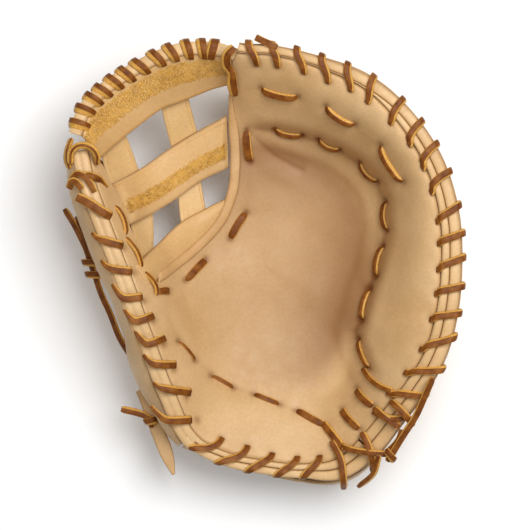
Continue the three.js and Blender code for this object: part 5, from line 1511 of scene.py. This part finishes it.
@dataclass
class RimLaces:
    """The laces whipped over the rim and the web's edge."""

    points: int = 42

    def over_rim(self, stitches: Array, room: Array, leaves: Array,
                 hook: Array) -> tuple[Array, Array]:
        """Paths of the stitches over the rim, and their directions across.

        Args:
            stitches: the rows of the table.
            room: how wide the bindings are at each.
            leaves: (S, 2, 3) the two points at which each comes out below.
            hook: 1 where a stitch turns to its hole only past the rolls, 0 where it runs straight.

        Returns:
            The paths and sides, (S, N, 3).
        """
        end, hole = stitches[:, 0], stitches[:, 1]

        def spot(share: Array | float, out: Array | float, up: float) -> Array:
            """Points beside or above the rim at a share of the way from end to hole."""
            return beside(BOWL.frame, end + (hole - end) * share, out, up)

        holes = stitch_holes(stitches)
        top = BOWL.lifted(holes[:, 0], holes[:, 1], 0.5)
        low = BOWL.lifted(holes[:, 0], holes[:, 1], -4.0)
        inset = stitches[:, 2] * BAND_WIDTH
        knots = np.stack([leaves[:, 0], leaves[:, 1], spot(0.0, room + 1.6, -0.4),
                          spot(0.1 - 0.07 * hook, room - 0.5, LACE_OVER - 0.1),
                          spot(0.4 - 0.24 * hook, room * 0.5, LACE_OVER + 0.3),
                          spot(0.7 - 0.25 * hook, 0.7, LACE_OVER),
                          spot(0.93 - 0.13 * hook, -0.5 * inset, 1.3), top, low], axis=1)
        t = np.linspace(0, 1, self.points)
        return rounded(knots, t), unit(between(BOWL.frame(end)[2], BOWL.frame(hole)[2], t))

    def from_back(self, stitches: Array, low: float) -> Array:
        """The two points at which stitches come out through the back's leather.

        Args:
            stitches: the rows of the table.
            low: how far down the back's section they leave it, as a share.

        Returns:
            The inner and the outer point of each, (S, 2, 3).
        """
        back = BackLeather()
        near = back.curve(stitches[:, 0], np.array([low - 0.02, low, low + 0.02]))
        _, out, along = BOWL.frame(stitches[:, 0])
        square = unit(np.cross(along, near[:, 2] - near[:, 0]))
        square *= np.where(np.sum(square * out, axis=-1) > 0, 1.0, -1.0)[:, None]
        inner, outer = near[:, 1] - square * (BACK_WALL + 1), near[:, 1] + square * (LACE_THICK / 2 + 0.1)
        return np.stack([inner, outer], axis=1)

    def under_edge(self, stitches: Array, room: float, depth: float) -> Array:
        """The two points at which stitches come round from below the bindings.

        Args:
            stitches: the rows of the table.
            room: how wide the bindings are, millimetres.
            depth: how far they reach down.

        Returns:
            The inner and the outer point of each, (S, 2, 3).
        """
        at, out, _ = BOWL.frame(stitches[:, 0])
        inner, outer = at + out * room * 0.4, at + out * (room + 1.5)
        inner[:, 2] -= depth + LACE_THICK
        outer[:, 2] -= depth * 0.55
        return np.stack([inner, outer], axis=1)

    def over_web(self, web: Web) -> tuple[Array, Array]:
        """Paths and directions across of the stitches over the web's edge.

        Args:
            web: the web that they are on.

        Returns:
            The paths and sides, (S, N, 3).
        """
        end, hole, inset = WEB_STITCHES[:, 0], WEB_STITCHES[:, 1], WEB_STITCHES[:, 2]

        def spot(share: float, out: float, up: float) -> Array:
            """Points beside or above the web's edge at a share of the way from end to hole."""
            return beside(web.frames, end + (hole - end) * share, out, up)

        at, out, _ = web.frames(hole)
        q = at - out * (inset * BAND_WIDTH)[:, None]
        top, low = BOWL.lifted(q[:, 0], q[:, 1], 0.9), BOWL.lifted(q[:, 0], q[:, 1], -3.0)
        knots = np.stack([spot(0, WEB_BINDING * 0.5, -6.4), spot(0, WEB_BINDING + 1.0, -5.0),
                          spot(0.05, WEB_BINDING + 1.3, -1.0), spot(0.25, WEB_BINDING - 1.6, LACE_OVER),
                          spot(0.55, WEB_BINDING * 0.45, LACE_OVER + 0.3), spot(0.85, 0.4, LACE_OVER - 0.6),
                          top, low], axis=1)
        t = np.linspace(0, 1, self.points)
        return rounded(knots, t), unit(between(web.frames(end)[2], web.frames(hole)[2], t))

    def build(self, rawhide: bpy.types.Material) -> None:
        """Makes the four runs of lace.

        Args:
            rawhide: the finish.
        """
        late = smooth(np.linspace(0, 1, self.points), 0.6, 0.95)[None]
        hook = (FINGER_STITCHES[:, 3] > 0) * 1.0
        straight = 0 * HEEL_STITCHES[:, 0]
        heel_room = 2 * (GAP + HEEL_ROLL)
        runs = {
            "finger_lace": (FINGER_STITCHES, hook, BOWL.rim(BAND, FINGER_STITCHES[:, 0]) * BAND_WIDTH,
                            self.from_back(FINGER_STITCHES, 0.07)),
            "heel_lace": (HEEL_STITCHES, straight, heel_room + straight,
                          self.under_edge(HEEL_STITCHES, heel_room, BINDING_DEPTH)),
        }
        for name, (stitches, hook, room, leaves) in runs.items():
            paths, sides = self.over_rim(stitches, room, leaves, hook)
            width = LACE_WIDTH * (1.04 - (0.06 + 0.26 * hook)[:, None] * late)
            piece(f"{name}_rawhide", lace_of(paths, sides, width, stitches[:, 3]), rawhide, (name,))
        form = LooseLaces().lying_all(THUMB_LACES, THUMB_LACE_EDGE)
        piece("thumb_lace_rawhide", form, rawhide, ("thumb_lace",))
        paths, sides = self.over_web(Web())
        width = LACE_WIDTH * (1.02 - 0.2 * late) * 1.36
        form = lace_of(paths, sides, width, WEB_STITCHES[:, 3])
        piece("web_lace_rawhide", form, rawhide, ("web_lace",))


@dataclass
class PalmLaces:
    """Short laces that come up out of the palm and go back in, and the loops along the thumb."""

    points: int = 22

    def on_palm(self, rows: Array, arch: float, bow: float) -> Form:
        """Laces between two places on the palm, sunk at both ends.

        Args:
            rows: their ends, widths and cut edges.
            arch: how far their middles rise, millimetres.
            bow: how far their middles swing sideways.

        Returns:
            The laces.
        """
        a, b = rows[:, :2] * (HALF_X, HALF_Y), rows[:, 2:4] * (HALF_X, HALF_Y)
        t = np.linspace(-0.04, 1.04, self.points)
        x, y = np.moveaxis(between(a, b, t), -1, 0)
        lift, _ = RELIEF.at(x, y)
        tuck = smooth(t, -0.04, 0.14) * (1 - smooth(t, 0.86, 1.04))
        high = lift + (0.9 + arch * np.sin(math.pi * np.clip(t, 0, 1))) * tuck[None] - 2.4 * (1 - tuck)[None]
        way = np.concatenate([unit(b - a), 0 * a[:, :1]], axis=1)
        normal = unit(BOWL.normal(x, y) + np.array([0, 0, 0.9]))
        side = np.cross(normal, way[:, None])
        path = BOWL.lifted(x, y, high) + side * (bow * np.sin(math.pi * np.clip(t, 0, 1)))[None, :, None]
        width = LACE_WIDTH * rows[:, 4:5] * (0.66 + 0.34 * smooth(np.minimum(t, 1 - t), -0.04, 0.2))[None]
        return lace_of(path, side, width, rows[:, 5], both=bow > 1)

    def build(self, rawhide: bpy.types.Material) -> None:
        """Makes the crease laces and the thumb loops.

        Args:
            rawhide: the finish.
        """
        names = tuple(f"crease_lace_{i + 1}" for i in range(len(CREASE_LACES)))
        piece("crease_laces_rawhide", self.on_palm(CREASE_LACES, 0.5, -0.7), rawhide, names)
        loops = np.array(list(THUMB_LOOPS.values()))
        piece("thumb_loops_rawhide", self.on_palm(loops, 1.2, 2.0), rawhide, tuple(THUMB_LOOPS))


@dataclass
class LooseLaces:
    """Straps, knots and lace ends that stand away from the leather, and the pointed leather tab."""

    fine: int = 9

    def path(self, rows: Array, count: int) -> Array:
        """A rounded path through a table's rows, millimetres, (count, 3)."""
        return rounded(rows[:, :3] * (HALF_X, HALF_Y, 1), np.linspace(0, 1, count))

    def strap(self, rows: Array, skew: float, both: bool) -> Form:
        """One strap: a lace along the rows that lies flat across its way and wavers a little.

        Args:
            rows: the strap's table.
            skew: how much of it is pale cut edge, with the side as its sign.
            both: whether both edges show.

        Returns:
            The strap.
        """
        count = (len(rows) - 1) * self.fine + 1
        path = self.path(rows, count)[None]
        u = np.linspace(0, len(rows) - 1, count)
        wide, thick = columns(rows, u, 3, 4)
        along = unit(np.gradient(path, axis=1))
        side = unit(np.stack([-along[..., 1], along[..., 0], 0.12 * np.sin(u * 2.1)[None]], axis=-1))
        tip = 1 - 0.25 * bump(u, 0.12) - 0.25 * bump(u - u[-1], 0.12)
        wide = (wide * tip * LACE_WIDTH)[None]
        return lace_of(path, side, wide, np.array([skew]), (thick * LACE_THICK)[None], both)

    def lying(self, rows: tuple, skew: float) -> Form:
        """A strap that lies on the palm or on the rim's rolls, at a table's lifts over them.

        Args:
            rows: the strap's table.
            skew: how much of it is pale cut edge, with the side as its sign.

        Returns:
            The strap.
        """
        table = np.array(rows)
        count = (len(table) - 1) * self.fine + 1
        u = np.linspace(0, len(table) - 1, count)
        x, y, lift, wide = columns(table, u, 0, 1, 2, 3)
        x, y = x * HALF_X, y * HALF_Y
        turn, out = BOWL.place(x, y)
        rolls = BOWL.edge(turn)[:, 2] + BINDING_TOP + 1.0
        below = BOWL.height(x, y) + (rolls - BOWL.height(x, y)) * smooth(out, 0.96, 1.0)
        path = np.stack([x, y, below + lift], axis=-1)[None]
        along = unit(np.gradient(path, axis=1))
        side = np.stack([-along[..., 1], along[..., 0], 0 * x[None]], axis=-1)
        return lace_of(path, side, (wide * LACE_WIDTH)[None], np.array([skew]))

    def lying_all(self, straps: tuple, skew: float) -> Form:
        """Several straps that lie on the leather, as one mesh."""
        return reduce(Form.joined, [self.lying(rows, skew) for rows in straps])

    def knot(self, strap: str, row: int, length: float, height: float) -> Form:
        """A lace that is wrapped once over a strap: an arch whose feet go in below it.

        Args:
            strap: the strap that it is tied in.
            row: the row of the strap's table that it sits at.
            length: the arch's span, millimetres.
            height: its height.

        Returns:
            The wrap.
        """
        rows = STRAPS[strap][1]
        path = self.path(rows, len(rows) * 8 - 7)
        at = path[row * 8]
        way = unit(path[min(row * 8 + 1, len(path) - 1)] - path[row * 8 - 1])
        side = unit(np.array([-way[1], way[0], 0.0]) + 0.35 * way)
        a = np.linspace(-0.15, math.pi + 0.15, 16)
        arch = at + side * (np.cos(a) * length / 2)[:, None]
        arch[:, 2] += np.sin(a) * height - 0.6
        ways = np.broadcast_to(way, arch.shape)[None]
        return lace_of(arch[None], ways, np.array([[LACE_WIDTH]]), np.array([0.25]))

    def tab(self) -> Form:
        """The pointed tab: a thick leather strip whose edges are rounded.

        Returns:
            The tab.
        """
        count = 60
        u = np.linspace(0, len(TAB) - 1, count)
        path = self.path(TAB, count)
        along = unit(np.gradient(path, axis=0))
        side = unit(np.stack([-along[:, 1], along[:, 0], 0 * along[:, 0]], axis=-1))
        wide = columns(TAB, u, 3)[0]
        a = np.linspace(0, 2 * math.pi, 28, endpoint=False)
        w = np.sign(np.cos(a)) * np.abs(np.cos(a)) ** 0.5 / 2
        h = np.sign(np.sin(a)) * np.abs(np.sin(a)) ** 0.6 * 1.26
        rings = path[:, None] + side[:, None] * (w * wide[:, None])[..., None]
        rings[..., 2] += h[None] + 0.3 * np.sin(u * 2)[:, None]
        # painted shade along the tab's rounded sides
        return ropes(rings[None], {"painted_shade": (0.5 * bump(np.abs(w) - 0.5, 0.07))[None, None]})

    def build(self, rawhide: bpy.types.Material, hide: bpy.types.Material) -> None:
        """Makes the straps, their knots and the tab.

        Args:
            rawhide: the laces' finish.
            hide: the tab's finish.
        """
        for name, (skew, rows) in STRAPS.items():
            form = self.strap(rows, skew, name.startswith("thumb_tip"))
            made = piece(f"{name}_rawhide", form, rawhide, (name,))
            wraps = [self.knot(*knot) for knot in KNOTS if knot[0] == name]
            tied = []
            if wraps:
                tied = [piece(f"{name}_knot_rawhide", reduce(Form.joined, wraps), rawhide)]
        for name, (skew, straps) in LYING.items():
            piece(f"{name}_rawhide", self.lying_all(straps, skew), rawhide)
        piece("strap_tab_leather", self.tab(), hide, ("strap_tab",))


@dataclass
class Studio:
    """Camera, floor and light: straight above the mitt, on plain white."""

    camera_height: float = 1.615  # above the floor, metres
    view_width: float = 0.371  # width seen at view_distance, metres
    view_distance: float = 1.5
    sensor: float = 36.0
    sky: float = 0.12
    half_floor: float = 3.0

    def camera(self) -> None:
        """Places the camera over the plan's middle, looking straight down."""
        data = bpy.data.cameras.new("camera")
        data.sensor_width = self.sensor
        data.lens = self.sensor * self.view_distance / self.view_width
        data.clip_end = 20
        made = bpy.data.objects.new("camera", data)
        made.location = (CENTRE[0] / METRE, CENTRE[1] / METRE, self.camera_height)
        bpy.context.scene.collection.objects.link(made)
        bpy.context.scene.camera = made

    def floor(self) -> None:
        """A plain pale floor."""
        mesh = bpy.data.meshes.new("floor")
        corners = [(x * self.half_floor, y * self.half_floor, 0)
                   for x, y in ((-1, -1), (1, -1), (1, 1), (-1, 1))]
        mesh.from_pydata(corners, [], [(0, 1, 2, 3)])
        made = bpy.data.objects.new("floor", mesh)
        bpy.context.scene.collection.objects.link(made)
        settings = {"Base Color": linear("#ffffff"), "Roughness": 0.9, "Specular IOR Level": 0.1}
        made.data.materials.append(surface("white_paper", settings))

    def light(self) -> None:
        """A soft light from the upper right, a wide one overhead, and a weak white sky."""
        for name, place, size, power in LIGHTS:
            data = bpy.data.lights.new(name, "AREA")
            data.size, data.energy, data.shape = size, power, "DISK"
            made = bpy.data.objects.new(name, data)
            made.location = place
            way = np.array(LIT_POINT) - np.array(place)
            spin = math.atan2(way[1], way[0])
            tilt = math.atan2(math.hypot(way[0], way[1]), -way[2])
            made.rotation_euler = (0.0, -tilt, spin)
            made.rotation_mode = "XYZ"
            bpy.context.scene.collection.objects.link(made)
        world = bpy.data.worlds.new("sky")
        bpy.context.scene.world = world
        world.use_nodes = True
        sky = world.node_tree.nodes["Background"]
        sky.inputs["Color"].default_value = (1.0, 1.0, 1.0, 1.0)
        sky.inputs["Strength"].default_value = self.sky
        bpy.context.scene.view_settings.view_transform = "Standard"


def main() -> None:
    """Builds the parts in order."""
    logging.basicConfig(level=logging.INFO, format="%(name)s %(message)s")
    studio = Studio()
    studio.camera()
    studio.floor()
    studio.light()
    hide = Cowhide("tan_cowhide").material()
    back = Cowhide("back_cowhide", "#cda774", "#d5b080", "#c39a67").material()
    # the rolls' painted shade tends to a greyer brown
    rolled = Cowhide("rolled_cowhide", "#d6b07d", "#dbb887", "#cda672", shade_tone="#7a5230", roughness=0.46)
    binding = rolled.material()
    web = Cowhide("web_cowhide", "#d2a972", "#d8b17c", "#caa068").material()
    post = Cowhide("post_cowhide", "#d9b37c", "#ddb985", "#d0a86e").material()
    piping = Cowhide("piping_cowhide", "#caa06c", "#d1a978", "#bf9561").material()
    rawhide = Rawhide("brown_rawhide").material()
    thread = WaxedThread("yellow_thread").material()
    Palm().build(hide)
    RimRolls().build(binding)
    Piping().build(piping)
    BackLeather().build(back)
    Web().build(web, post, binding, thread)
    RimLaces().build(rawhide)
    PalmLaces().build(rawhide)
    LooseLaces().build(rawhide, back)


if __name__ == "__main__":
    main()
